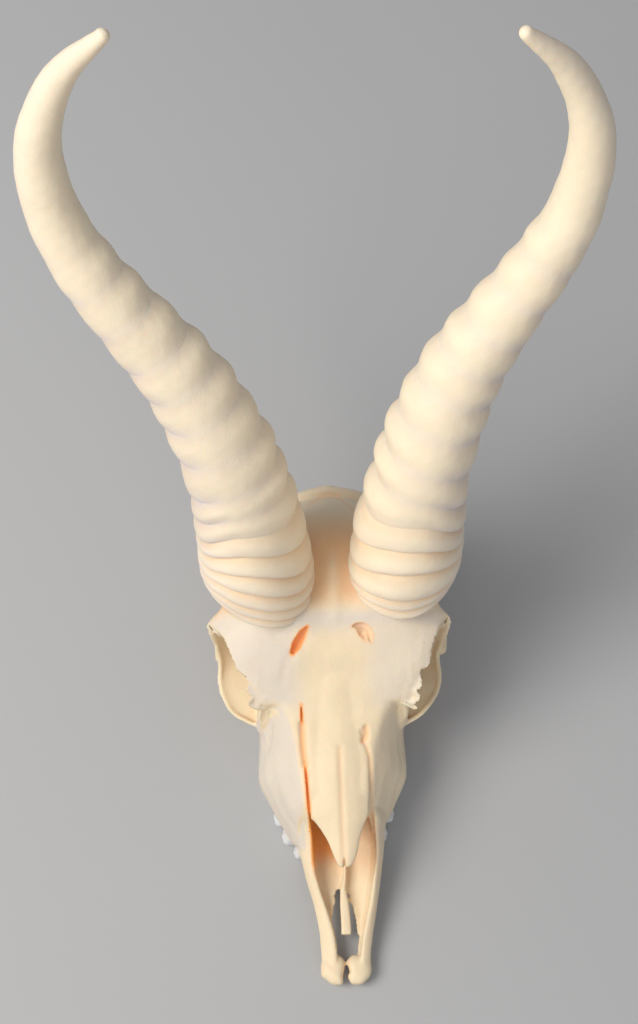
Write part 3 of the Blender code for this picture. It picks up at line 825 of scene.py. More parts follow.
# Ribbon of bone round the lower and rear rim of each eye: inner and outer point of each station.
EYE_RIMS = {
    Side.RIGHT: (
        (-25.5, 98.8, 38.5, -30.5, 99.2, 43.0),
        (-26.5, 102.0, 40.0, -36.5, 101.9, 43.8),
        (-27.5, 106.0, 41.5, -41.8, 105.2, 44.4),
        (-28.5, 111.0, 42.5, -44.9, 110.2, 45.0),
        (-29.5, 116.0, 43.0, -46.5, 115.7, 45.6),
        (-31.0, 121.0, 43.0, -46.6, 120.5, 46.8),
        (-33.5, 127.0, 44.0, -46.2, 124.6, 49.5),
        (-35.5, 133.0, 48.0, -46.6, 127.5, 54.5),
        (-36.5, 137.0, 54.0, -47.2, 129.8, 60.0),
        (-36.5, 139.0, 62.0, -48.3, 131.6, 67.0),
        (-36.0, 140.0, 68.0, -48.6, 134.0, 72.5),
    ),
    Side.LEFT: (
        (24.0, 98.4, 38.5, 28.5, 98.9, 43.0),
        (25.0, 101.0, 40.0, 33.8, 101.4, 43.8),
        (25.5, 104.5, 41.0, 37.6, 104.6, 44.4),
        (26.0, 109.0, 42.0, 41.2, 109.4, 45.2),
        (27.0, 114.0, 43.0, 43.0, 114.2, 45.8),
        (28.5, 119.0, 43.0, 43.2, 118.2, 46.6),
        (30.5, 125.0, 44.0, 42.5, 123.8, 49.0),
        (32.5, 131.0, 48.0, 43.5, 127.0, 54.5),
        (34.0, 135.0, 54.0, 44.9, 129.0, 60.0),
        (34.5, 137.5, 62.0, 45.9, 130.0, 67.0),
        (34.0, 139.0, 68.0, 46.8, 132.6, 71.5),
    ),
}
# Outlines of the muzzle's two ends, seen from above.
TIP_LEAVES = {
    Side.RIGHT: (
        (-9.5, 8.6), (-9.7, 4.6), (-9.2, 3.1), (-7.9, 2.4), (-6.9, 1.5), (-5.7, 0.6), (-4.2, 0.1),
        (-1.6, -0.1), (-0.9, 0.9), (-0.8, 3.3), (-0.2, 5.8), (0.2, 7.9), (0.1, 9.2), (-0.7, 10.7),
        (-1.7, 11.3), (-2.8, 11.2), (-4.0, 10.6), (-6.6, 10.6),
    ),
    Side.LEFT: (
        (1.1, 9.1), (1.8, 10.0), (2.6, 10.9), (4.0, 11.5), (5.4, 11.2), (8.4, 10.8), (10.4, 9.4),
        (11.0, 6.8), (10.9, 4.9), (10.2, 2.9), (8.5, 1.0), (6.6, -0.2), (4.0, -0.2), (2.5, 0.3),
        (1.6, 1.9), (1.2, 3.2), (2.1, 4.2), (2.0, 5.4), (1.6, 7.2),
    ),
}
# Layers of a muzzle end: share of the outline that is left, and height.
LEAF_LAYERS = ((0.7, 0.8), (0.9, 2.0), (1.0, 4.2), (1.0, 6.2), (0.93, 7.6), (0.72, 8.7), (0.4, 9.3))


@dataclass(frozen=True)
class Cut:
    """A narrow opening in the bent frame: centre and radius at each station, and height against width."""

    path: Rows
    flat: float = 1.0

    @property
    def side(self) -> Side:
        """The side of the skull that it is on."""
        return Side(int(np.sign(self.path[0][0])))

    def form(self) -> Shell:
        """The space that it takes out of the bone."""
        return bar(self.path, self.flat, bent=True)

    def distance(self, points: Array) -> Array:
        """How far points are from its wall, with all heights divided by flat.

        Args:
            points: Points in the bent frame.

        Returns:
            One distance for each point, below 0 inside the opening.
        """
        places = np.array(self.path) / (1.0, 1.0, self.flat, 1.0)
        distance, where = path_distance(points / (1.0, 1.0, self.flat), places[:, :3])
        return distance - np.interp(where, lengths_along(places[:, :3]), places[:, 3])


# Channels in front of the eyes.
CHANNELS = (
    Cut(
        (
            (-27.5, 101.0, 59.0, 2.0),
            (-28.6, 97.0, 54.0, 4.0),
            (-30.8, 92.5, 47.5, 5.2),
            (-33.4, 88.0, 41.0, 5.6),
        )
    ),
    Cut(
        (
            (25.4, 100.6, 59.5, 2.2),
            (27.0, 97.0, 54.0, 4.0),
            (29.6, 92.5, 47.5, 5.2),
            (32.6, 88.0, 41.0, 5.6),
        )
    ),
)
# Pits in the brow and slits beside the nose.
PITS = (
    Cut(
        (
            (-9.8, 128.7, 83.6, 0.5),
            (-11.4, 127.4, 81.8, 1.4),
            (-13.0, 125.2, 79.8, 1.9),
            (-14.6, 122.6, 78.2, 1.9),
            (-16.0, 120.2, 77.2, 1.0),
        ),
        1.3,
    ),
    Cut(
        (
            (7.6, 128.0, 83.4, 0.4),
            (9.4, 128.6, 83.2, 1.2),
            (11.6, 128.4, 82.9, 1.6),
            (13.4, 127.0, 82.0, 1.6),
            (14.4, 125.0, 81.0, 1.3),
            (14.9, 122.6, 79.9, 0.5),
        )
    ),
    Cut(((10.2, 127.0, 83.6, 1.6), (12.2, 125.6, 82.6, 2.6), (12.8, 123.6, 81.4, 1.6))),
    Cut(((-13.4, 102.6, 63.6, 0.3), (-13.45, 99.0, 62.0, 0.5), (-13.4, 95.5, 60.0, 0.3)), 2.6),
    Cut(((1.4, 46.0, 41.0, 0.3), (1.4, 43.6, 38.5, 0.6), (1.4, 41.0, 36.5, 0.7)), 3.0),
    Cut(
        (
            (-12.9, 82.5, 53.5, 0.3),
            (-12.5, 76.0, 50.5, 0.5),
            (-12.1, 68.0, 46.5, 0.55),
            (-11.6, 60.0, 41.0, 0.7),
        ),
        2.8,
    ),
)


@dataclass(frozen=True)
class Mark:
    """A line worked into the bone: its path, how far it stands out, its width and how much painted orange
    glow and shade lies in it.

    A negative height is a groove. reach is how far above and below its path the mark fades out.
    """

    path: Rows
    height: float
    width: float
    warm: float = 0.0
    reach: float = 6.0

    def strength(self, points: Array) -> Array:
        """exp(-(d / width)^2 - (h / reach)^2), with d seen from above and h the height over the path.

        Args:
            points: Points in the bent frame.

        Returns:
            One share for each point.
        """
        places = np.array(self.path, float)
        distance, where = path_distance(points[:, :2], places[:, :2])
        along = lengths_along(np.pad(places[:, :2], ((0, 0), (0, 1))))
        level = np.interp(where, along, places[:, 2])
        return np.exp(-((distance / self.width) ** 2) - ((points[:, 2] - level) / self.reach) ** 2)


# The sutures, and a low ridge along the middle of the brow. A mark's warm share is painted glow and shade in
# its groove.
MARKS = (
    Mark(((1.2, 86.0, 57.0), (1.2, 74.3, 52.2), (1.2, 59.6, 46.0), (1.3, 42.0, 38.0)), -0.5, 1.1, 0.15),
    Mark(((-13.4, 95.2, 60.1), (-13.4, 86.3, 55.1), (-12.8, 80.8, 52.4)), -1.4, 1.3, 0.6),
    Mark(
        ((10.1, 92.0, 58.6), (11.3, 87.9, 56.3), (13.1, 83.1, 52.8), (13.4, 72.3, 47.8), (13.4, 63.6, 43.5)),
        -0.7,
        0.9,
        0.25,
    ),
    Mark(((11.8, 93.5, 60.0), (11.9, 90.0, 58.0), (10.6, 88.6, 57.0)), -1.2, 0.9, 0.5),
    Mark(((-16.0, 120.4, 77.5), (-18.4, 116.6, 75.0), (-20.2, 112.6, 72.2)), -0.3, 1.8, 0.05),
    Mark(((1.0, 150.0, 91.0), (1.0, 141.0, 89.5), (1.2, 132.0, 86.0)), 0.7, 3.2),
    Mark(
        (
            (-7.1, 182.1, 75.4),
            (-2.1, 187.7, 70.6),
            (4.4, 187.5, 70.3),
            (8.9, 179.8, 77.9),
            (12.3, 174.1, 82.5),
        ),
        -0.35,
        1.0,
        0.2,
    ),
)


@dataclass(frozen=True)
class Unevenness:
    """A layer of low waves: their height and usual length in millimetres, and the seed that places them."""

    height: float
    size: float
    seed: int

    def at(self, points: Array) -> Array:
        """height * wave_noise(points)."""
        return self.height * wave_noise(points, self.size, self.seed)


BONE_WAVES = (Unevenness(0.05, 5.0, 3), Unevenness(0.18, 16.0, 4))
FLUTE_WAVES = Unevenness(1.5, 16.0, 5)
HORN_WAVES = (Unevenness(0.25, 22.0, 7), Unevenness(0.07, 6.0, 8))


def plate(grid: Array, thickness: float) -> Shell:
    """A plate about a surface: grid + and - half the thickness along the surface's normals.

    Args:
        grid: Points of the surface, shaped (rows, columns, 3).
        thickness: How thick the plate is, in millimetres.

    Returns:
        The plate's skin.
    """
    normal = unit(np.cross(np.gradient(grid, axis=0), np.gradient(grid, axis=1)))
    half = 0.5 * thickness * normal
    return skin(np.concatenate((grid + half, (grid - half)[:, ::-1]), axis=1))


def on_side(side: Side, stations: Rows) -> Rows:
    """The same stations on one side of the skull."""
    return tuple((side.value * x, *rest) for x, *rest in stations)


def side_ball(side: Side, form: tuple[Row, Row, float]) -> Shell:
    """The same ball on one side of the skull."""
    (x, y, z), radii, lean = form
    return ball((side.value * x, y, z), radii, lean)


def solid_of(item: bpy.types.Object) -> BVHTree:
    """Turns an object's faces into a tree that rays can be cast at.

    Args:
        item: The object.

    Returns:
        The tree, in the skull's frame.
    """
    item.data.calc_loop_triangles()
    corners = np.empty(len(item.data.loop_triangles) * 3, np.int32)
    item.data.loop_triangles.foreach_get("vertices", corners)
    return BVHTree.FromPolygons(read_points(item.data).tolist(), corners.reshape(-1, 3).tolist())


def tops(solid: BVHTree, spots: Array) -> Array:
    """Finds the height of a solid's top at spots seen from above.

    Args:
        solid: The solid.
        spots: Points shaped (n, 3).

    Returns:
        The top's height, or the spot's own where the solid is missing or much lower.
    """
    above, drop = 120.0, 8.0
    heights: list[float] = []
    for x, y, z in spots.tolist():
        found = solid.ray_cast((x, y, above), (0.0, 0.0, -1.0))[0]
        heights.append(z if found is None or found.z < z - drop else found.z)
    return np.array(heights)


def place(item: bpy.types.Object, slot: str, *nodes: str) -> bpy.types.Object:
    """Ties a piece to the frame.

    Args:
        item: The piece.
        slot: Not used.
        nodes: The nodes that it stands for.

    Returns:
        The piece.
    """
    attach(item, "root")
    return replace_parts(item, *nodes)


@dataclass(frozen=True)
class Muzzle:
    """The thin forms of the muzzle: the nasal plate, the floor and walls of the nose, and the two ends.

    arch is how far the nasal plate's edges drop where it is 2 * arch_half wide. The palate is jagged in
    front of jag_end, by jag, and dished by dish. blade is how thick the walls are at their crests, and
    the midline plate is vomer_depth high with edges cut off by chamfer.
    """

    arch: float = 4.0
    arch_half: float = 13.0
    jag: float = 0.5
    jag_end: float = 38.5
    dish: float = 1.2
    palate_thickness: float = 2.0
    blade: float = 0.9
    vomer_depth: float = 4.0
    chamfer: float = 0.5

    def nasal_plate(self) -> Shell:
        """The roof of the nose: top(y) - arch * t^2 * half(y) / arch_half, with t from -1 to 1 across it.

        Returns:
            The plate's skin.
        """
        stations = spline(np.array(NASAL_STATIONS), steps=6)
        y, middle, half, top, thick = (column[:, None] for column in stations.T)
        across = np.linspace(-1.0, 1.0, 15)[None]
        height = top - self.arch * across**2 * half / self.arch_half
        upper = np.stack((middle + across * half, y + 0 * across, height), -1)
        lower = upper[:, ::-1] - np.stack((0 * thick, 0 * thick, thick), -1)
        return skin(bend(np.concatenate((upper, lower), axis=1)))

    def vomer(self) -> Shell:
        """The thin plate on the midline, narrower at its foot.

        Returns:
            The plate's skin.
        """
        taper = 0.2
        y, left, right, top = spline(np.array(VOMER), steps=8).T
        corners = (
            (left, top - self.chamfer),
            (left + self.chamfer, top),
            (right - self.chamfer, top),
            (right, top - self.chamfer),
            (right - taper, top - self.vomer_depth),
            (left + taper, top - self.vomer_depth),
        )
        return skin(np.stack([np.stack((x, y, z), -1) for x, z in corners], axis=1))

    def palate(self, side: Side) -> Shell:
        """The floor of the nose on one side, with a jagged inner edge.

        With t from 0 at the outer edge to 1 at the inner one, it is top(y) + dish * (2t - 1)^2 - dish * t
        high. The inner edge swings by jag * sin(4.9 y + 2 sin(1.7 y)) in front of jag_end.

        Args:
            side: The side.

        Returns:
            The slab's skin.
        """
        y, outer, inner, top = spline(np.array(NOSE_FLOOR[side]), steps=16).T
        swing = np.sin(y * 4.9 + np.sin(y * 1.7) * 2.0)
        jagged = inner + side.value * (y < self.jag_end) * self.jag * swing
        t = np.linspace(0.0, 1.0, 9)[None]
        x = outer[:, None] + (jagged - outer)[:, None] * t
        height = top[:, None] + self.dish * (2 * t - 1) ** 2 - self.dish * t
        upper = np.stack((x, y[:, None] + 0 * x, height), -1)
        lower = upper[:, ::-1] - (0.0, 0.0, self.palate_thickness)
        return skin(np.concatenate((upper, lower), axis=1))

    def wall(self, side: Side) -> Shell:
        """One side of the nose opening: a sharp crest, a sloping outer face and a steep inner one.

        A closed curve runs through eight places of each cross-section.

        Args:
            side: The side.

        Returns:
            The wall's skin.
        """
        y, crest, top, outer, level, low, foot = spline(np.array(NOSE_WALLS[side]), steps=5).T
        across = (
            (crest, top),
            (crest + 0.55 * (outer - crest), top - 0.3 * (top - level)),
            (outer, level),
            (outer + 0.15 * (foot - outer), low + 0.25 * (level - low)),
            ((outer + foot) / 2, low),
            (foot, low + 0.2 * (level - low)),
            (crest - self.blade * side.value, (top + low) / 2),
            (crest - self.blade * side.value, top - self.blade),
        )
        rings = np.stack([np.stack((x, y, z), -1) for x, z in across], axis=1)
        return skin(np.moveaxis(spline(np.moveaxis(rings, 1, 0), steps=4, closed=True), 0, 1))

    def leaf(self, side: Side) -> Shell:
        """The flat end of the muzzle on one side: middle + share * (outline - middle) in each layer.

        Args:
            side: The side.

        Returns:
            The end's skin, with a domed top.
        """
        outline = spline(np.array(TIP_LEAVES[side]), steps=4, closed=True)
        middle = outline.mean(0)
        rings = [
            np.concatenate((middle + share * (outline - middle), np.full((len(outline), 1), height)), axis=1)
            for share, height in LEAF_LAYERS
        ]
        return skin(np.array(rings))


@dataclass(frozen=True)
class Shelf:
    """The plate of bone above one eye, with its broken edge.

    edge is its thickness at the edge and jag how far the cut swings to and fro, at points cut_spacing
    apart. The cut begins cut_above the edge. Behind the edge the height passes into the bone's own top
    over blend millimetres.
    """

    side: Side
    edge: float = 1.5
    jag: float = 0.32
    blend: float = 4.0
    cut_spacing: float = 0.55
    cut_above: float = 4.5

    @property
    def out(self) -> Array:
        """The level way out from the edge."""
        return np.array((0.89 * self.side.value, -0.45, 0.0))

    def line(self, spacing: float, jag: float = 0.0) -> Array:
        """Draws the broken edge.

        Args:
            spacing: Distance from point to point.
            jag: The most that a point is moved out or in at random, less at the outer corner.

        Returns:
            Points along the edge, from the outer corner forwards.
        """
        curve = spline(np.array(SHELF_EDGES[self.side]), steps=10)
        along = lengths_along(curve)
        places = np.arange(0.0, along[-1], spacing)
        line = np.stack([np.interp(places, along, curve[:, i]) for i in range(3)], -1)
        draw = np.random.default_rng(11 + self.side.value)
        fade = smoothstep(0.0, 0.25, places / along[-1])
        return line + self.out * (draw.uniform(-jag, jag, len(line)) * fade)[:, None]

    def top(self, solid: BVHTree, spacing: float, inward: Array) -> Array:
        """Works out the upper surface, which keeps the edge's height beyond it.

        Args:
            solid: The bone that the shelf is part of.
            spacing: Distance from point to point along the edge.
            inward: Distances in from the edge.

        Returns:
            Points on a grid, along the edge and inward from it.
        """
        grid = self.line(spacing)[:, None] - self.out * inward[:, None]
        level = tops(solid, grid.reshape(-1, 3)).reshape(grid.shape[:2])
        grid[..., 2] += smoothstep(0.0, self.blend, inward) * (level - grid[..., 2])
        return grid

    def cut(self, reach: Row, depth: float) -> Shell:
        """Makes a block outside the broken edge.

        Args:
            reach: Its width at the outer corner, at 0.12 and 0.25 of the way along the edge and at its end.
            depth: How far down it goes.

        Returns:
            The block's skin.
        """
        line = self.line(self.cut_spacing, self.jag)
        width = np.interp(np.arange(len(line)) / len(line), (0.0, 0.12, 0.25, 1.0), reach)[:, None]
        far = line + self.out * width
        up, down = np.array((0.0, 0.0, self.cut_above)), np.array((0.0, 0.0, depth))
        return skin(np.stack((line + up, far + up, far - down, line - down), axis=1))

    def hollow(self, solid: BVHTree) -> Shell:
        """The hollow under the shelf: it leaves edge + 0.02 * d^2 of bone, d being the way in from the edge.

        Args:
            solid: The bone that the shelf is part of.

        Returns:
            The hollow's skin.
        """
        spacing, skipped, depth = 1.5, 4, 9.0
        inward = np.linspace(-3.0, 9.0, 9)
        upper = self.top(solid, spacing, inward)[skipped:]
        upper[..., 2] -= self.edge + 0.02 * np.clip(inward, 0, None) ** 2
        return skin(np.concatenate((upper, upper[:, ::-1] - (0.0, 0.0, depth)), axis=1))

    def rim(self, solid: BVHTree) -> Shell:
        """A thin plate along the edge that reaches a little beyond it.

        Args:
            solid: The bone that the shelf is part of.

        Returns:
            The plate's skin.
        """
        spacing, skipped = 1.2, 10
        middle = self.top(solid, spacing, np.linspace(-1.6, 5.0, 8))[skipped:]
        return plate(middle - (0.0, 0.0, self.edge / 2), self.edge)


# Widths and depths of the blocks cut off outside the shelves, before and after the thin forms are added.
WIDE_CUT = ((9.0, 9.0, 9.0, 9.0), 9.5)
NARROW_CUT = ((0.5, 1.0, 4.5, 4.5), 4.5)

# Where the cheeks have flutes: along Y, by how far they face sideways, and their lower and upper ends.
FLUTES_FRONT = Fade(56.0, 64.0)
FLUTES_BACK = Fade(92.0, 104.0)
FLUTES_SIDEWAYS = Fade(0.3, 0.7)
FLUTES_LOW = Fade(12.0, 18.0)
FLUTES_HIGH = Fade(38.0, 52.0)


@dataclass(frozen=True)
class SkullBone:
    """The head bone: a hollow bulk, the thin bars and plates on it, and its sutures and openings.

    voxel is the grid that the forms are joined on and cut_voxel that of the narrow openings, wall the
    thickness of the ribbons round the eyes and triangles how many are kept. ground is the height that
    nothing goes below. The cheeks' flutes are flute_height high and flute_length apart, and rise by
    flute_slope along Y.
    """

    voxel: float = 0.6
    cut_voxel: float = 0.35
    wall: float = 1.8
    triangles: int = 185000
    ground: float = 0.05
    flute_height: float = 0.14
    flute_length: float = 9.0
    flute_slope: float = 0.55
    muzzle: Muzzle = Muzzle()
    shelves: tuple[Shelf, ...] = tuple(Shelf(side) for side in Side)

    def bulk(self) -> Shell:
        """The braincase, muzzle and horn cores before they are hollowed.

        Returns:
            Their skins as one.
        """
        forms = [sections(MUZZLE_SECTIONS), sections(CRANIUM_SECTIONS)]
        for side in Side:
            forms += [bar(on_side(side, HORN_CORE)), bar(on_side(side, ARCH_ROOT))]
            forms += [side_ball(side, EAR_BULGE), side_ball(side, NECK_KNUCKLE)]
        return merge(forms)

    def nasal_cavity(self) -> Shell:
        """The nasal cavity: middle + (half * c(u), 0, height / 2 * s(u)), a rounded square across.

        c and s are the cosine and sine raised to CAVITY_POWER with their signs kept.

        Returns:
            The cavity's skin.
        """
        turn = np.linspace(0.0, TURN, 40, endpoint=False)
        across = signed_power(np.cos(turn), CAVITY_POWER)
        upward = signed_power(np.sin(turn), CAVITY_POWER)
        y, half, floor, roof = (column[:, None] for column in spline(np.array(NASAL_CAVITY), steps=5).T)
        height = (floor + roof) / 2 + (roof - floor) / 2 * upward
        return skin(bend(np.stack((half * across, y + 0 * across, height), -1)))

    def hollows(self) -> Shell:
        """The orbits, the way back through each, the nasal cavity, throat and spinal opening.

        Returns:
            Their skins as one.
        """
        forms = [self.nasal_cavity()] + [ball(*hollow) for hollow in MIDLINE_SCOOPS]
        for side in Side:
            forms += [side_ball(side, hollow) for hollow in SIDE_SCOOPS] + [bar(on_side(side, TEMPLE_WAY))]
        return merge(forms)

    def eye_rim(self, side: Side) -> Shell:
        """The ribbon round an eye: inner + (outer - inner) * (sin(a)^0.9, sin(a)^0.9, (1 - cos(a))^1.3).

        The angle a goes from 0 to a right angle across the ribbon.

        Args:
            side: The side.

        Returns:
            The ribbon's skin.
        """
        stations = spline(np.array(EYE_RIMS[side]), steps=8)[:, None]
        inner, outer = stations[..., :3], stations[..., 3:]
        turn = np.linspace(0.0, math.pi / 2, 14)[None]
        share = np.stack((np.sin(turn) ** 0.9, np.sin(turn) ** 0.9, (1 - np.cos(turn)) ** 1.3), -1)
        return plate(inner + (outer - inner) * share, self.wall)

    def corner_cut(self) -> Shell:
        """The block outside the left shelf's rear corner.

        Returns:
            The block's skin.
        """
        line = np.array(CORNER_CUT)
        far = line + np.array((9.0, 3.5, 0.0))
        up = np.array((0.0, 0.0, 13.0))
        return skin(np.stack((line + up, far + up, far - up, line - up), axis=1))

    def thin_forms(self, solid: BVHTree) -> Shell:
        """The plates and bars that stay whole where the bulk gets hollow.

        Args:
            solid: The bulk.

        Returns:
            Their skins as one.
        """
        forms = [self.muzzle.nasal_plate(), self.muzzle.vomer(), bar(SKULL_FLOOR)]
        for shelf in self.shelves:
            side = shelf.side
            forms += [bar(on_side(side, stations), BAR_HEIGHT) for stations in BAR_SHAPES.values()]
            forms += [bar(on_side(side, PALATE_WING), PALATE_WING_HEIGHT), self.eye_rim(side)]
            forms += [self.muzzle.palate(side), self.muzzle.wall(side), self.muzzle.leaf(side)]
            forms += [shelf.rim(solid)]
        return merge(forms)

    def fine_cuts(self) -> bpy.types.Object:
        """Makes the cutter of the narrow openings.

        Returns:
            The cutter's object.
        """
        cutter = object_from("skull_cutter", merge([cut.form() for cut in CHANNELS + PITS]))
        fuse(cutter, self.cut_voxel, smoothing=1)
        return cutter

    def opening_share(self, points: Array, edge: Fade, sides: Iterable[Side]) -> Array:
        """How near points are to the pits and slits.

        Args:
            points: Points in the bent frame.
            edge: Distances from an opening's wall where the share starts and ends to fall.
            sides: The sides that count.

        Returns:
            One share for each point, 1 in and next to the openings and 0 away from them.
        """
        share = np.zeros(len(points))
        for cut in PITS:
            if cut.side in sides:
                share = np.maximum(share, edge.fall(cut.distance(points)))
        return share

    def thin_out(self, skull: bpy.types.Object) -> None:
        """Leaves out points where the bone is nearly flat, but for the surroundings of the openings.

        Args:
            skull: The bone's object.
        """
        skull.data.calc_loop_triangles()
        near = self.opening_share(read_points(skull.data), Fade(2.0, 3.0), Side)
        skull.vertex_groups.new(name="thinned").add(np.flatnonzero(near == 0).tolist(), 1.0, "REPLACE")
        decimate = skull.modifiers.new("Thin out", "DECIMATE")
        decimate.vertex_group = "thinned"
        decimate.ratio = min(1.0, self.triangles / len(skull.data.loop_triangles))
        bake(skull)

    def hollowed(self) -> tuple[bpy.types.Object, BVHTree]:
        """Makes the bulk and takes its hollows and the space outside the shelves from it.

        Returns:
            The hollow bulk's object, and the bulk as it was before.
        """
        bone = object_from("skull_bulk", self.bulk())
        fuse(bone, self.voxel, smoothing=8)
        solid = solid_of(bone)
        spaces = merge([self.hollows()] + [shelf.hollow(solid) for shelf in self.shelves])
        hollow = object_from("skull_hollows", spaces)
        fuse(hollow, self.voxel, smoothing=2)
        cut_away(bone, hollow)
        wide = merge([shelf.cut(*WIDE_CUT) for shelf in self.shelves])
        cut_away(bone, object_from("skull_wide_cut", wide))
        cut_away(bone, object_from("skull_corner_cut", self.corner_cut()))
        return bone, solid

    def join(self) -> bpy.types.Object:
        """Joins every form in one skin.

        Returns:
            The bone's object, before its relief.
        """
        bone, solid = self.hollowed()
        thin = object_from("skull_thin_forms", self.thin_forms(solid))
        whole = bmesh.new()
        for item in (bone, thin):
            whole.from_mesh(item.data)
            bpy.data.objects.remove(item, do_unlink=True)
        mesh = bpy.data.meshes.new("skull_bone")
        whole.to_mesh(mesh)
        whole.free()
        skull = bpy.data.objects.new("skull_bone", mesh)
        bpy.context.scene.collection.objects.link(skull)
        fuse(skull, self.voxel, smoothing=3)
        narrow = merge([shelf.cut(*NARROW_CUT) for shelf in self.shelves])
        cut_away(skull, object_from("skull_narrow_cut", narrow))
        return skull

    def flutes(self, points: Array, normals: Array) -> Array:
        """Height of the cheeks' flutes: flute_height * cos(2 pi h / flute_length), faded round the cheeks.

        h is the height less flute_slope times the place along Y, and a little uneven.

        Args:
            points: The bone's points.
            normals: Its outward directions.

        Returns:
            One height for each point, in millimetres.
        """
        y, z = points[:, 1], points[:, 2]
        cheek = FLUTES_FRONT.rise(y) * FLUTES_BACK.fall(y) * FLUTES_SIDEWAYS.rise(np.abs(normals[:, 0]))
        cheek = cheek * FLUTES_LOW.rise(z) * FLUTES_HIGH.fall(z)
        height = z - self.flute_slope * y + FLUTE_WAVES.at(points)
        return self.flute_height * cheek * np.cos(height * TURN / self.flute_length)

    def shape(self, points: Array, normals: Array) -> Array:
        """Works the marks, the unevenness and the flutes in, and flattens the underside.

        Args:
            points: The bone's points.
            normals: Its outward directions.

        Returns:
            The moved points.
        """
        moved = points.copy()
        for mark in MARKS:
            moved += normals * (mark.height * mark.strength(points) * (normals[:, 2] > 0))[:, None]
        moved += normals * sum(waves.at(points) for waves in BONE_WAVES)[:, None]
        low, high = TOOTH_ROW_BLOCK
        x, y = np.abs(points[:, 0]), points[:, 1]
        over_crowns = (x > low[0]) & (x < high[0]) & (y > low[1]) & (y < high[1])
        moved[:, 2] = np.maximum(moved[:, 2], np.where(over_crowns, high[2], self.ground))
        return moved + normals * self.flutes(points, normals)[:, None]

    def nose_share(self, points: Array, normals: Array) -> Array:
        """How far points lie in the nose.

        Args:
            points: The bone's points.
            normals: Its outward directions.

        Returns:
            1 on the faces under the nasal plate that don't face outwards, 0 elsewhere, less at the ends.
        """
        midline, half, roof_gap, facing = 1.2, 13.8, 7.0, 0.25
        x, y, z = points.T
        stations = np.array(NASAL_STATIONS)
        roof = np.interp(y, stations[:, 0], stations[:, 3]) - roof_gap
        off = x - midline
        inner = (np.abs(off) < half) & (z < roof) & (normals[:, 0] * np.sign(off) < facing)
        return inner * Fade(95.0, 105.0).fall(y) * Fade(8.0, 10.0).rise(z)

    def painted_glow(self, points: Array, normals: Array, near: Array) -> Array:
        """Share of the warm colour, a painted orange glow: in hollows, along the marks, in the openings and
        in the nose.

        Args:
            points: The bone's points.
            normals: Its outward directions.
            near: How much surface lies round each point.

        Returns:
            One share for each point.
        """
        hollow_warm, right_warm, left_warm, nose_warm = 0.12, 0.85, 0.3, 0.22
        brow_start, nose_floor = 100, 12
        x, y, z = points.T
        # Painted glow where surface crowds round a point, as in hollows and creases.
        warm = hollow_warm * Fade(1.4, 3.0).rise(near)
        for mark in MARKS:
            warm = np.maximum(warm, mark.warm * mark.strength(points) * (normals[:, 2] > 0))
        warm = np.maximum(warm, right_warm * self.opening_share(points, Fade(0.0, 0.9), (Side.RIGHT,)))
        left = self.opening_share(points, Fade(0.1, 1.0), (Side.LEFT,))
        warm = np.maximum(warm, left_warm * left * (y > brow_start))
        # Painted orange glow on the nose's inner faces on the skull's right, which lie in shade.
        nose = self.nose_share(points, normals)
        right_half = nose * Fade(42.0, 56.0).rise(y + 0.5 * (z - nose_floor)) * Fade(-1.0, 3.0).fall(x)
        return np.maximum(warm, np.maximum(right_half, nose_warm * nose * Fade(36.0, 50.0).rise(y)))

    def painted_shade(self, points: Array, normals: Array) -> Array:
        """Share of the cool colour, a painted lilac shade: round the horns, behind the brow pits and on the
        muzzle's outer sides.

        Args:
            points: The bone's points.
            normals: Its outward directions.

        Returns:
            One share for each point.
        """
        brow_cool, brow_place, brow_width, eye_level = 0.8, 131.0, 4.0, 60
        muzzle_start, muzzle_end, muzzle_half = 52, 104, 14
        x, y, z = points.T
        # Painted lilac shade on upward faces round the horns, more on the skull's right side.
        upward = Fade(0.2, 0.8).rise(normals[:, 2])
        by_side = np.where(x < 0, 0.75, 0.55)
        cool = upward * Fade(8.0, 20.0).rise(np.abs(x)) * Fade(96.0, 106.0).rise(y) * by_side
        cool = np.maximum(cool, brow_cool * upward * bell(y - brow_place, brow_width) * (z > eye_level))
        muzzle = (y > muzzle_start) * (y < muzzle_end) * (np.abs(x) > muzzle_half)
        outer = Fade(0.25, 0.6).rise(np.abs(normals[:, 0])) * muzzle
        cool = np.maximum(cool, outer * np.where(x < 0, 0.75, 0.2))
        cool *= Fade(0.3, 0.8).fall((z < eye_level) * Fade(98.0, 102.0).rise(y))
        # Painted shade over the back of the braincase.
        return np.maximum(cool, 0.3 * Fade(165.0, 185.0).rise(y))

    def painted_warm_shade(self, points: Array) -> Array:
        """Share of the tan colour, a painted warm shade: between and behind the horns, less along the middle
        ridge and far back.

        Args:
            points: The bone's points.

        Returns:
            One share for each point.
        """
        x, y, z = points.T
        ridge = 0.6 * bell(x - 0.8, 2.4) * Fade(150.0, 160.0).fall(y)
        tan = Fade(132.0, 142.0).rise(y) * Fade(55.0, 75.0).rise(z) * (1 - ridge)
        return tan * (1 - 0.9 * Fade(158.0, 180.0).rise(y))

    def build(self, finish: "Finish") -> bpy.types.Object:
        """Makes the bone.

        Args:
            finish: The finish it wears.

        Returns:
            The bone's object.
        """
        skull = self.join()
        points, normals = read_points(skull.data), read_normals(skull.data)
        write_points(skull.data, self.shape(points, normals))
        cut_away(skull, self.fine_cuts())
        self.thin_out(skull)
        mesh = skull.data
        points, normals = read_points(mesh), read_normals(mesh)
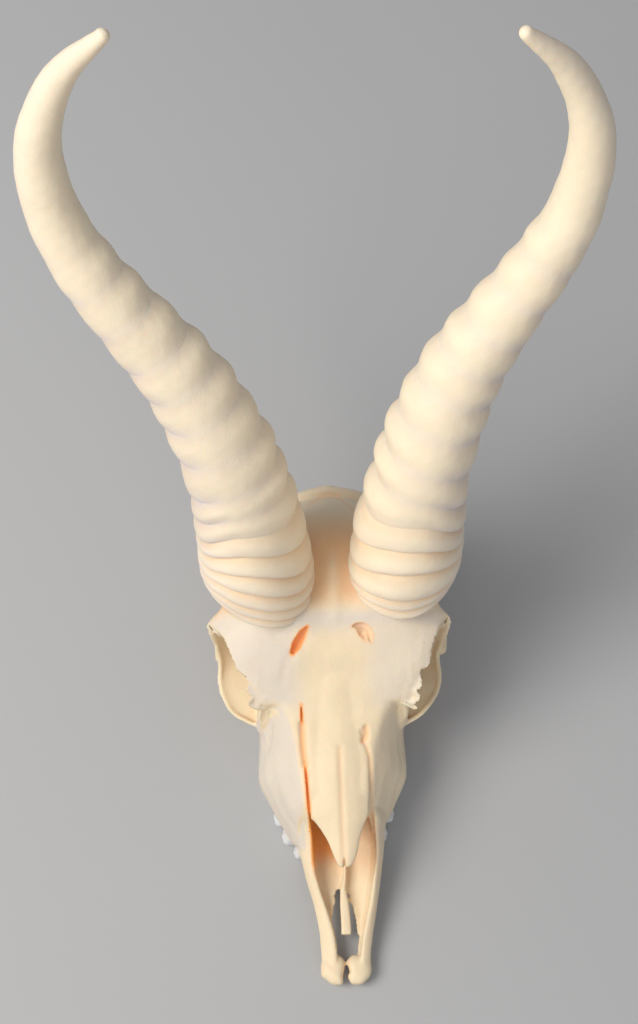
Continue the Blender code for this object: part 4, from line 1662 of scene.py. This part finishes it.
        # Painted light: an orange glow in hollows, openings and the nose, lilac shade and warm shade round
        # the horns.
        tan = self.painted_warm_shade(points)
        warm = self.painted_glow(points, normals, nearness(mesh, points, normals, reach=3.0))
        write_tint(mesh, warm, self.painted_shade(points, normals) * (1 - tan), tan)
        mesh.shade_smooth()
        mesh.materials.clear()
        mesh.materials.append(finish.material())
        return place(skull, "bone", "skull")


@dataclass(frozen=True)
class RingRelief:
    """How far the rings stand out at a distance from the rim: on the outer side, in front and inside."""

    distance: float
    outer: float
    front: float
    inner: float


RING_RELIEF = (
    RingRelief(0, 1.6, 1.6, 1.7),
    RingRelief(6, 2.1, 2.2, 2.3),
    RingRelief(12, 2.4, 2.6, 2.7),
    RingRelief(23, 2.6, 2.1, 2.5),
    RingRelief(40, 2.7, 1.4, 2.7),
    RingRelief(60, 2.5, 0.5, 2.6),
    RingRelief(85, 2.2, 0.4, 1.8),
    RingRelief(120, 1.6, 0.4, 1.7),
    RingRelief(150, 1.2, 0.3, 1.5),
    RingRelief(175, 0.6, 0.2, 0.8),
    RingRelief(190, 0, 0, 0),
)
# Shares of the way out from the middle, and depths, of the rings that turn the rim under.
LIP_SHARES = (0.97, 0.9, 0.6)
LIP_DROPS = (0.5, 0.7, 0.7)


@dataclass
class Horn:
    """A ringed horn sheath over a curved line.

    path holds the centre and half-width at each station. rim gives the distance of the lower edge along
    the line at angles from the front towards the midline, and fades out over rim_fade millimetres.
    grooves are the grooves' distances above the rim. flare is how far the lowest fold stands out towards
    the midline. Below its first station the sheath goes on for root millimetres, root_half wide there and
    narrower by root_taper in root_span. About 60 mm up the rings are shifted by outer_shift outside and
    inner_shift inside, and near the base by front_lift in front. The mesh has rows rings of around points.
    """

    side: Side
    path: Rows
    rim: Rows
    grooves: Row
    flare: float
    around: int = 112
    rows: int = 760
    root: float = 30.0
    root_half: float = 18.6
    root_taper: float = 1.1
    root_span: float = 17.0
    rim_fade: float = 40.0
    outer_shift: float = -8.0
    inner_shift: float = 3.0
    front_lift: float = 11.0

    def __post_init__(self) -> None:
        """Works out the centre line, drawn on straight below its first station."""
        curve = spline(np.array(self.path, float), steps=24)
        start = unit(curve[4, :3] - curve[0, :3])
        below = np.linspace(-self.root, -1.0, 15)[:, None]
        half = self.root_half + self.root_taper * below / self.root_span
        low = np.concatenate((curve[0, :3] + start * below, half), axis=1)
        self.line = np.concatenate((low, curve))
        self.arc = np.concatenate((below[:, 0], lengths_along(curve)))
        self.length = float(self.arc[-1])

    def at(self, distance: Array) -> tuple[Array, Array, Array, Array, Array]:
        """Reads the centre line.

        Args:
            distance: Distances along the line, in millimetres.

        Returns:
            The centre, the half-width, and the directions along, forwards and sideways.
        """
        centre = np.stack([np.interp(distance, self.arc, self.line[:, i]) for i in range(3)], -1)
        slope = np.gradient(self.line[:, :3], self.arc, axis=0)
        along = unit(np.stack([np.interp(distance, self.arc, slope[:, i]) for i in range(3)], -1))
        front = np.array((0.0, -1.0, 0.0))
        front = unit(front - along * (along @ front)[..., None])
        return centre, np.interp(distance, self.arc, self.line[:, 3]), along, front, np.cross(along, front)

    def rim_at(self, turned: Array) -> Array:
        """Reads the rim, as the mean of three places 8 degrees apart.

        Args:
            turned: Angles from the front towards the midline, from -180 to 180 degrees.

        Returns:
            The rim's distance along the line.
        """
        angle, edge = np.array(self.rim, float).T
        shifts = (-8.0, 0.0, 8.0)
        return sum(np.interp(turned + shift, angle, edge, period=360.0) for shift in shifts) / len(shifts)

    def along_at(self, row: Array, inward: Array) -> Array:
        """Turns a distance above the rim into one along the centre line.

        It is row + rim * (1 - row / rim_fade) + shift + lift. The shift is greatest 60 mm up and at 85 to
        100 degrees from the front. The lift is greatest 20 to 26 mm up, where it is front_lift * cos^2 of
        the angle.

        Args:
            row: Distance above the rim, in millimetres.
            inward: Angle from the front towards the midline, in degrees.

        Returns:
            The distance along the line.
        """
        turned = (inward + 180.0) % 360.0 - 180.0
        towards, past = Fade(0.0, 85.0), Fade(100.0, 170.0)
        shift = towards.rise(-turned) * past.fall(-turned) * self.outer_shift
        shift += towards.rise(turned) * past.fall(turned) * self.inner_shift
        band = Fade(5.0, 60.0).rise(row) * Fade(60.0, 90.0).fall(row)
        ahead = np.clip(np.cos(np.radians(turned)), 0.0, 1.0) ** 2
        lift = self.front_lift * ahead * Fade(0.0, 20.0).rise(row) * Fade(26.0, 75.0).fall(row)
        return row + self.rim_at(turned) * np.clip(1 - row / self.rim_fade, 0.0, 1.0) + shift * band + lift

    def ring_parts(self, row: Array) -> tuple[Array, Array]:
        """Finds the groove below and the one above.

        Args:
            row: Distance above the rim.

        Returns:
            The share of the way from one groove to the next, and the distance to the nearer groove.
        """
        beyond = 400.0
        places = np.array((*self.grooves, beyond))
        index = np.clip(np.searchsorted(places, row, side="right") - 1, 0, len(places) - 2)
        low, high = places[index], places[index + 1]
        share = np.clip((row - low) / (high - low), 0.0, 1.0)
        return share, np.minimum(np.abs(row - low), np.abs(high - row))

    def amount(self, row: Array, angle: Array, low: Array) -> Array:
        """How far the rings stand out: middle + (side - middle) * |sin a|^power.

        The middle is the front's or the back's amount, and the side the inner or the outer one. A higher
        power inside keeps the rings there to the part that faces the midline.

        Args:
            row: Distance above the rim.
            angle: Angle from the front towards +X, in radians.
            low: 1 near the rim and 0 higher up.

        Returns:
            The rings' amount in millimetres.
        """
        inward = np.sin(angle) * -self.side.value
        rows = [(ring.distance, ring.outer, ring.front, ring.inner) for ring in RING_RELIEF]
        distance, outer, front, inner = np.array(rows).T
        side = np.where(inward > 0, np.interp(row, distance, inner), np.interp(row, distance, outer))
        ahead = np.interp(row, distance, front) * (0.45 + 0.55 * low)
        behind = 0.7 * np.interp(row, distance, outer)
        middle = np.where(np.cos(angle) > 0, ahead, behind)
        return middle + (side - middle) * np.abs(inward) ** np.where(inward > 0, 4.0, 1.4)

    def relief(self, row: Array, angle: Array) -> Array:
        """Height of the rings: amount * (wave + (fold - wave) * share - 0.55 - crease).

        With p the share of the way from a groove to the next, the wave is (1 - cos 2 pi p) / 2 and the fold
        sin(pi p^a)^b, which meets the next in a crease. Near the rim there are folds all round, their
        crests lie lower, as a is less, and a crease of exp(-(distance to the groove / 0.7)^2) deepens each
        groove. Higher up the outer side has folds, the inner side has waves with a trace of a fold, and the
        front has faint waves.

        Args:
            row: Distance above the rim.
            angle: Angle from the front towards +X, in radians.

        Returns:
            Height above the plain shaft, in millimetres.
        """
        part, gap = self.ring_parts(row)
        low = Fade(24.0, 50.0).fall(row)
        inward = np.sin(angle) * -self.side.value
        lean, roundness = 0.7 - 0.17 * low, 0.55 + 0.3 * low
        wave = 0.5 - 0.5 * np.cos(TURN * part)
        fold = np.sin(math.pi * np.clip(part, 1e-6, 1.0) ** lean) ** roundness
        share = np.where(inward > 0, 0.2 * np.abs(inward) ** 6.0, 1.1 * np.abs(inward) ** 1.5)
        shape = wave + (fold - wave) * np.clip(share + low, 0.0, 1.0)
        crease = 0.2 * low * bell(gap, 0.7)
        return self.amount(row, angle, low) * (shape - 0.55 - crease)

    def surface(self, row: Array, angle: Array) -> Array:
        """Points of the sheath: centre + reach * (cos a * deep * front + sin a * side).

        The reach is the half-width with the lowest fold, the relief and a little unevenness, and closes as
        sqrt(1 - t^2) over the last 2 mm. deep makes the base a little longer than wide.

        Args:
            row: Distance above the rim.
            angle: Angle from the front towards +X, in radians.

        Returns:
            The points, with the shape of row and a last axis of 3.
        """
        base_depth, base_length, tip_length = 0.06, 130.0, 2.0
        flare_turn, flare_row, flare_width = 72.0, 7.0, 10.0
        s = self.along_at(row, np.degrees(angle) * -self.side.value)
        centre, radius, _, front, side = self.at(s)
        deep = 1.0 + base_depth * np.clip(1 - s / base_length, 0.0, None)
        end = np.clip((s - self.length + tip_length) / tip_length, 0.0, 1.0)
        towards = np.clip(np.cos(angle + self.side.value * math.radians(flare_turn)), 0.0, 1.0) ** 2
        fold = self.flare * towards * bell(row - flare_row, flare_width)
        reach = (radius + fold + self.relief(row, angle)) * np.sqrt(1 - np.minimum(end, 0.995) ** 2)
        ahead, aside = radius * np.cos(angle), radius * np.sin(angle)
        plain = centre + ahead[..., None] * front + aside[..., None] * side
        uneven = sum(waves.at(plain.reshape(-1, 3)) for waves in HORN_WAVES)
        reach = reach + uneven.reshape(s.shape) * (1 - end)
        ahead, aside = reach * deep * np.cos(angle), reach * np.sin(angle)
        return centre + ahead[..., None] * front + aside[..., None] * side

    def tint(self, row: Array, angle: Array) -> tuple[Array, Array, Array]:
        """Painted light on the sheath: a warm glow above the rings' crests and in the low grooves, cool
        shade in grooves and outside, tan shade behind.

        Args:
            row: Distance above the rim.
            angle: Angle from the front towards +X, in radians.

        Returns:
            The shares of the warm, cool and tan colours.
        """
        part, gap = self.ring_parts(row)
        low = Fade(25.0, 60.0).fall(row)
        near_base = Fade(20.0, 42.0).fall(row)
        ringed = Fade(150.0, 190.0).fall(row)
        outward = np.clip(np.sin(angle) * self.side.value, 0.0, 1.0)
        side = 0.25 + 0.75 * outward
        # Painted glow in the low grooves and above each crest.
        warm = 0.3 * low * bell(gap, 1.5)
        above_crest, below_groove = Fade(0.5, 0.8).rise(part), Fade(0.9, 1.0).fall(part)
        warm = warm + ringed * (0.3 * side + 0.3 * low) * above_crest * below_groove
        # Painted shade in the grooves and on the outer side.
        cool = ringed * np.maximum(side, 0.6 * near_base) * bell(gap, 3.8 - 1.6 * near_base)
        # Painted shade on the back of the sheath.
        tan = 0.3 * Fade(0.0, 1.0).rise(np.cos(angle) * -1.0)
        return warm, cool + 0.25 * outward, tan + 0 * row

    def build(self, finish: "Finish") -> bpy.types.Object:
        """Makes the sheath.

        Args:
            finish: The finish it wears.

        Returns:
            The sheath's object.
        """
        row = np.linspace(0.0, self.length, self.rows)[:, None]
        angle = np.linspace(0.0, TURN, self.around, endpoint=False)[None]
        row, angle = np.broadcast_arrays(row, angle)
        grid = self.surface(row, angle)
        middle = grid[0].mean(0)
        lip = middle + (grid[:1] - middle) * np.array(LIP_SHARES)[:, None, None]
        drop = np.array(LIP_DROPS)[:, None, None] * self.at(np.array(0.0))[2]
        name = f"horn_{self.side.word}"
        item = object_from(name + "_sheath", skin(np.concatenate(((lip - drop)[::-1], grid))))
        # The painted glow and shade, carried over to the lip rings and the two end points.
        shares: list[Array] = []
        for share in self.tint(row, angle):
            cover = np.concatenate((share[:1].repeat(len(LIP_DROPS), 0), share)).ravel()
            shares.append(np.append(cover, (cover[0], cover[-1])))
        write_tint(item.data, *shares)
        item.data.shade_smooth()
        item.data.materials.append(finish.material())
        return place(item, "horn", name)


@dataclass(frozen=True)
class Tooth:
    """A cheek tooth: its node's name, front edge, length and outer edge along the row, and crown's width.

    It is height tall and leans in by lean up to its neck, and space is left between it and the next. Its
    corners are squared off by squareness, and its lowest points are at ground.
    """

    name: str
    front: float
    length: float
    outer: float
    width: float
    height: float = 11.0
    lean: float = 1.6
    neck: float = 8.5
    space: float = 0.6
    squareness: float = 0.6
    ground: float = 0.08

    @property
    def lobes(self) -> int:
        """How many lobes the crown has along the row."""
        return 2 if self.name.startswith("molar") else 1

    def crown(self, u: Array) -> Array:
        """The crown's outer faces: centre + (half-width + grow(z)) * (c(u), s(u)), with ribs and a fold.

        c and s are the cosine and sine raised to squareness with their signs kept. grow draws the crown in
        at its edge and towards the neck. The ribs and the fold lie in the middle of its two long faces.

        Args:
            u: Angles round the crown, shaped (1, n).

        Returns:
            Points shaped (rows, n, 3), from the neck down to the grinding face.
        """
        z = np.concatenate((np.linspace(self.height, 1.2, 20), (0.7, 0.3, self.ground)))[:, None]
        grow = np.interp(z, (0.0, 0.5, 1.6, self.neck, self.height), (-0.75, -0.35, 0.0, -0.5, -1.4))
        ribs = 0.35 * np.cos(u * 2) ** 8 * np.cos((np.sin(u) * (self.lobes + 0.5)) * TURN)
        fold = 1.0 - 0.09 * (self.lobes - 1) * np.cos(u * 2) ** 8 * (np.abs(np.cos(u)) > 0.7)
        middle = self.outer - self.width / 2 - self.lean * np.minimum(z, self.neck) / self.neck
        across = signed_power(np.cos(u), self.squareness) * fold
        along = signed_power(np.sin(u), self.squareness)
        half = self.length / 2 - self.space / 2
        x = middle + (self.width / 2 + grow) * across + ribs * np.sign(np.cos(u)) * (grow > -1)
        y = self.front + self.length / 2 + (half + grow) * along
        return np.stack((x, y, z + 0 * u), -1)

    def grinding_face(self, edge: Array, u: Array) -> Array:
        """The face below, edge + (middle - edge) * t across, with its lobes hollowed.

        The hollow is 0.9 * sin(pi t)^2 * (0.6 + 0.4 cos(2 lobes u)) deep.

        Args:
            edge: The crown's lowest ring, shaped (n, 3).
            u: Angles round the crown, shaped (1, n).

        Returns:
            Points shaped (rows, n, 3), from near the edge to near the middle.
        """
        t = np.linspace(0.08, 0.97, 12)[:, None]
        hollow = 0.9 * np.sin(math.pi * t) ** 2 * (0.6 + 0.4 * np.cos(2 * self.lobes * u))
        face = edge + (edge.mean(0) - edge) * t[..., None]
        face[..., 2] = self.ground + hollow
        return face

    def build(self, side: Side, finish: "Finish") -> bpy.types.Object:
        """Makes the tooth on one side.

        Args:
            side: The side of the row.
            finish: The finish it wears.

        Returns:
            The tooth's object.
        """
        u = np.linspace(0.0, TURN, 72, endpoint=False)[None]
        crown = self.crown(u)
        grid = np.concatenate((crown, self.grinding_face(crown[-1], u))) * (side.value, 1.0, 1.0)
        name = f"{self.name}_{side.word}"
        item = object_from(name + "_crown", skin(bend(grid)))
        level = read_points(item.data)[:, 2]
        write_tint(item.data, Fade(6.0, 10.0).rise(level) * 0.5, 0 * level + 0.4, 0 * level)
        item.data.shade_smooth()
        item.data.materials.append(finish.material())
        return place(item, "tooth", name)


HORNS = (
    Horn(
        Side.RIGHT,
        HORN_PATHS["horn_right"],
        (
            (-180, 0), (-135, 3), (-90, 4), (-36, 1.5), (-22, -2.5), (-10, -4.5), (2, -6), (16, -8.5),
            (30, -10), (44, -12), (60, -13), (82, -13), (110, -11), (145, -6),
        ),
        (0, 4, 8.5, 13.5, 20, 29.5, 40, 53.5, 66.5, 83, 99, 114, 129, 146.5, 163, 178.5),
        3.4,
    ),
    Horn(
        Side.LEFT,
        HORN_PATHS["horn_left"],
        (
            (-180, 0), (-135, 2), (-90, 2), (-60, 0), (-38, -3), (-26, -4), (-16, -6), (-4, -6.5),
            (8, -7.5), (20, -7), (32, -6), (48, -6), (64, -7), (88, -11), (115, -11), (145, -6),
        ),
        (0, 4.5, 9, 17.5, 27.5, 39.5, 56, 71.5, 87.5, 103, 117, 131, 147, 163, 175),
        2.4,
    ),
)


@dataclass(frozen=True)
class Finish:
    """A cast ivory coat: its colour in plain, warm, cool and tan places, and how it takes the light. On the
    bone and horns the warm places are a painted orange glow and the cool and tan ones painted shade.

    glow is the share of light that goes in and comes out elsewhere, up to glow_depth metres away. grain is
    the strength of bumps that are grain_depth metres high. spots and grains are waves in a metre.
    """

    name: str
    plain: Row
    warm: Row
    cool: Row
    tan: Row
    roughness: float = 0.55
    glow: float = 0.2
    grain: float = 0.25
    bending: float = 1.48
    glow_colour: Row = (1.0, 0.42, 0.2)
    glow_depth: float = 0.004
    grain_depth: float = 0.0004
    spots: float = 90.0
    spot_range: Row = (0.94, 1.05)
    grains: float = 900.0

    def noise(
        self, tree: bpy.types.NodeTree, position: bpy.types.NodeSocket, scale: float
    ) -> bpy.types.NodeSocket:
        """Adds noise to a material.

        Args:
            tree: The material's nodes.
            position: Where on the object a place is.
            scale: Waves in a metre.

        Returns:
            The noise's value.
        """
        node = tree.nodes.new("ShaderNodeTexNoise")
        node.inputs["Scale"].default_value = scale
        node.inputs["Detail"].default_value = 4.0
        tree.links.new(position, node.inputs["Vector"])
        return node.outputs["Fac"]

    def colour(self, tree: bpy.types.NodeTree) -> bpy.types.NodeSocket:
        """Mixes the tan, cool and warm colours over the plain one by the tint attribute's shares.

        Args:
            tree: The material's nodes.

        Returns:
            The mixed colour.
        """
        tint = tree.nodes.new("ShaderNodeAttribute")
        tint.attribute_name = "tint"
        shares = tree.nodes.new("ShaderNodeSeparateColor")
        tree.links.new(tint.outputs["Color"], shares.inputs["Color"])
        colour = None
        for output, target in (("Blue", self.tan), ("Green", self.cool), ("Red", self.warm)):
            mix = tree.nodes.new("ShaderNodeMix")
            mix.data_type = "RGBA"
            mix.inputs["A"].default_value = (*self.plain, 1.0)
            mix.inputs["B"].default_value = (*target, 1.0)
            if colour:
                tree.links.new(colour, mix.inputs["A"])
            tree.links.new(shares.outputs[output], mix.inputs["Factor"])
            colour = mix.outputs["Result"]
        return colour

    def mottled(
        self, tree: bpy.types.NodeTree, colour: bpy.types.NodeSocket, position: bpy.types.NodeSocket
    ) -> bpy.types.NodeSocket:
        """Makes a colour lighter and darker in faint spots.

        Args:
            tree: The material's nodes.
            colour: The colour.
            position: Where on the object a place is.

        Returns:
            The colour times a noise between the two values of spot_range.
        """
        mottle = tree.nodes.new("ShaderNodeMapRange")
        mottle.inputs["To Min"].default_value, mottle.inputs["To Max"].default_value = self.spot_range
        tree.links.new(self.noise(tree, position, self.spots), mottle.inputs["Value"])
        scale = tree.nodes.new("ShaderNodeVectorMath")
        scale.operation = "SCALE"
        tree.links.new(colour, scale.inputs["Vector"])
        tree.links.new(mottle.outputs["Result"], scale.inputs["Scale"])
        return scale.outputs["Vector"]

    def material(self) -> bpy.types.Material:
        """Makes the finish as a material, or finds it again.

        Returns:
            The material.
        """
        known = bpy.data.materials.get(self.name)
        if known:
            return known
        material = bpy.data.materials.new(self.name)
        material.use_nodes = True
        tree = material.node_tree
        shader = tree.nodes["Principled BSDF"]
        position = tree.nodes.new("ShaderNodeTexCoord").outputs["Object"]
        tree.links.new(self.mottled(tree, self.colour(tree), position), shader.inputs["Base Color"])
        shader.inputs["Roughness"].default_value = self.roughness
        shader.inputs["IOR"].default_value = self.bending
        shader.inputs["Subsurface Weight"].default_value = self.glow
        shader.inputs["Subsurface Radius"].default_value = self.glow_colour
        shader.inputs["Subsurface Scale"].default_value = self.glow_depth
        bump = tree.nodes.new("ShaderNodeBump")
        bump.inputs["Strength"].default_value = self.grain
        bump.inputs["Distance"].default_value = self.grain_depth
        tree.links.new(self.noise(tree, position, self.grains), bump.inputs["Height"])
        tree.links.new(bump.outputs["Normal"], shader.inputs["Normal"])
        return material


# On the bone and horns the warm colour paints an orange glow, and the cool and tan colours paint shade.
BONE = Finish("ivory_bone", (0.82, 0.67, 0.45), (0.95, 0.38, 0.09), (0.69, 0.62, 0.54), (0.80, 0.51, 0.28))
HORN = Finish("ivory_horn", (0.88, 0.75, 0.55), (0.89, 0.63, 0.35), (0.71, 0.62, 0.58), (0.76, 0.59, 0.41))
ENAMEL = Finish(
    "ivory_enamel", (0.84, 0.81, 0.76), (0.78, 0.62, 0.42), (0.78, 0.80, 0.84), (0.7, 0.6, 0.5), 0.3, 0.15
)


@dataclass(frozen=True)
class Lamp:
    """A square soft light that faces the skull: its place and size in metres, its power and its colour."""

    name: str
    spot: Row
    size: float
    power: float
    colour: Row

    def build(self, target: Row) -> None:
        """Makes the light.

        Args:
            target: The place that it faces, in metres.
        """
        data = bpy.data.lights.new(self.name, "AREA")
        data.size = self.size
        data.energy = self.power
        data.color = self.colour
        item = bpy.data.objects.new(self.name, data)
        item.location = self.spot
        item.rotation_euler = (Vector(self.spot) - Vector(target)).to_track_quat("Z", "Y").to_euler()
        bpy.context.scene.collection.objects.link(item)


# The light comes from above on the skull's right, with a weak wide lamp in front.
LAMPS = (
    Lamp("key", (-0.75, -0.15, 1.15), 0.7, 15.0, (1.0, 0.97, 0.93)),
    Lamp("front", (0.0, -1.3, 0.8), 1.6, 5.0, (1.0, 0.98, 0.95)),
)


@dataclass(frozen=True)
class Studio:
    """A pale floor, soft light and the camera.

    The camera stands elevation degrees above the horizon at a distance, across and aim are the place it
    looks at along its own right and up directions, all in millimetres, and roll turns it in degrees. The
    floor and the lamps' target are in metres.
    """

    elevation: float = 70.0
    roll: float = 2.1
    distance: float = 720.0
    across: float = -3.6
    aim: float = 194.0
    lens: float = 61.875
    film: float = 36.0
    nearest: float = 0.01
    floor_half: float = 4.0
    floor_grey: float = 0.42
    floor_roughness: float = 0.9
    target: Row = (0.0, 0.02, 0.08)
    sky: Row = (0.9, 0.93, 1.0)
    sky_strength: float = 0.4

    def camera(self) -> None:
        """Places the camera: its axes are right, up and towards the viewer, turned by the roll."""
        rise = math.radians(self.elevation)
        turn = math.radians(self.roll)
        up = np.array((0.0, math.sin(rise), math.cos(rise)))
        toward = np.array((0.0, -math.cos(rise), math.sin(rise)))
        right = np.array((1.0, 0.0, 0.0))
        spot = self.across * right + self.aim * up + self.distance * toward
        turned_right = right * math.cos(turn) - up * math.sin(turn)
        turned_up = up * math.cos(turn) + right * math.sin(turn)
        axes = np.stack((turned_right, turned_up, toward), axis=1)
        data = bpy.data.cameras.new("camera")
        data.lens = self.lens
        data.sensor_width = self.film
        data.sensor_fit = "AUTO"
        data.clip_start = self.nearest
        item = bpy.data.objects.new("camera", data)
        item.matrix_world = Matrix.Translation(to_metres(spot)) @ Matrix(axes.tolist()).to_4x4()
        bpy.context.scene.collection.objects.link(item)
        bpy.context.scene.camera = item

    def floor(self) -> None:
        """Makes the floor, which is stage and no part of the skull."""
        half = self.floor_half
        mesh = bpy.data.meshes.new("floor")
        corners = [(-half, -half, 0), (half, -half, 0), (half, half, 0), (-half, half, 0)]
        mesh.from_pydata(corners, [], [(0, 1, 2, 3)])
        floor = bpy.data.objects.new("floor", mesh)
        bpy.context.scene.collection.objects.link(floor)
        paint = bpy.data.materials.new("floor_paint")
        paint.use_nodes = True
        shader = paint.node_tree.nodes["Principled BSDF"]
        shader.inputs["Base Color"].default_value = (self.floor_grey, self.floor_grey, self.floor_grey, 1.0)
        shader.inputs["Roughness"].default_value = self.floor_roughness
        mesh.materials.append(paint)

    def world(self) -> None:
        """Makes the even light from all round."""
        world = bpy.data.worlds.new("studio")
        world.use_nodes = True
        background = world.node_tree.nodes["Background"]
        background.inputs["Color"].default_value = (*self.sky, 1.0)
        background.inputs["Strength"].default_value = self.sky_strength
        bpy.context.scene.world = world
        bpy.context.scene.view_settings.view_transform = "Standard"

    def build(self) -> None:
        """Makes the floor, the light and the camera."""
        self.floor()
        for lamp in LAMPS:
            lamp.build(self.target)
        self.world()
        self.camera()


def log_piece(piece: bpy.types.Object) -> None:
    """Reports a finished piece."""
    LOG.info("%s: %d faces", piece.name, len(piece.data.polygons))


def main() -> None:
    """Builds every piece in order, logging each one's faces, and then the studio."""
    logging.basicConfig(level=logging.INFO, format="%(message)s")
    for horn in HORNS:
        log_piece(horn.build(HORN))
    log_piece(SkullBone().build(BONE))
    for side in Side:
        for entry in TOOTH_ROW:
            log_piece(Tooth(*entry).build(side, ENAMEL))
    Studio().build()


if __name__ == "__main__":
    main()
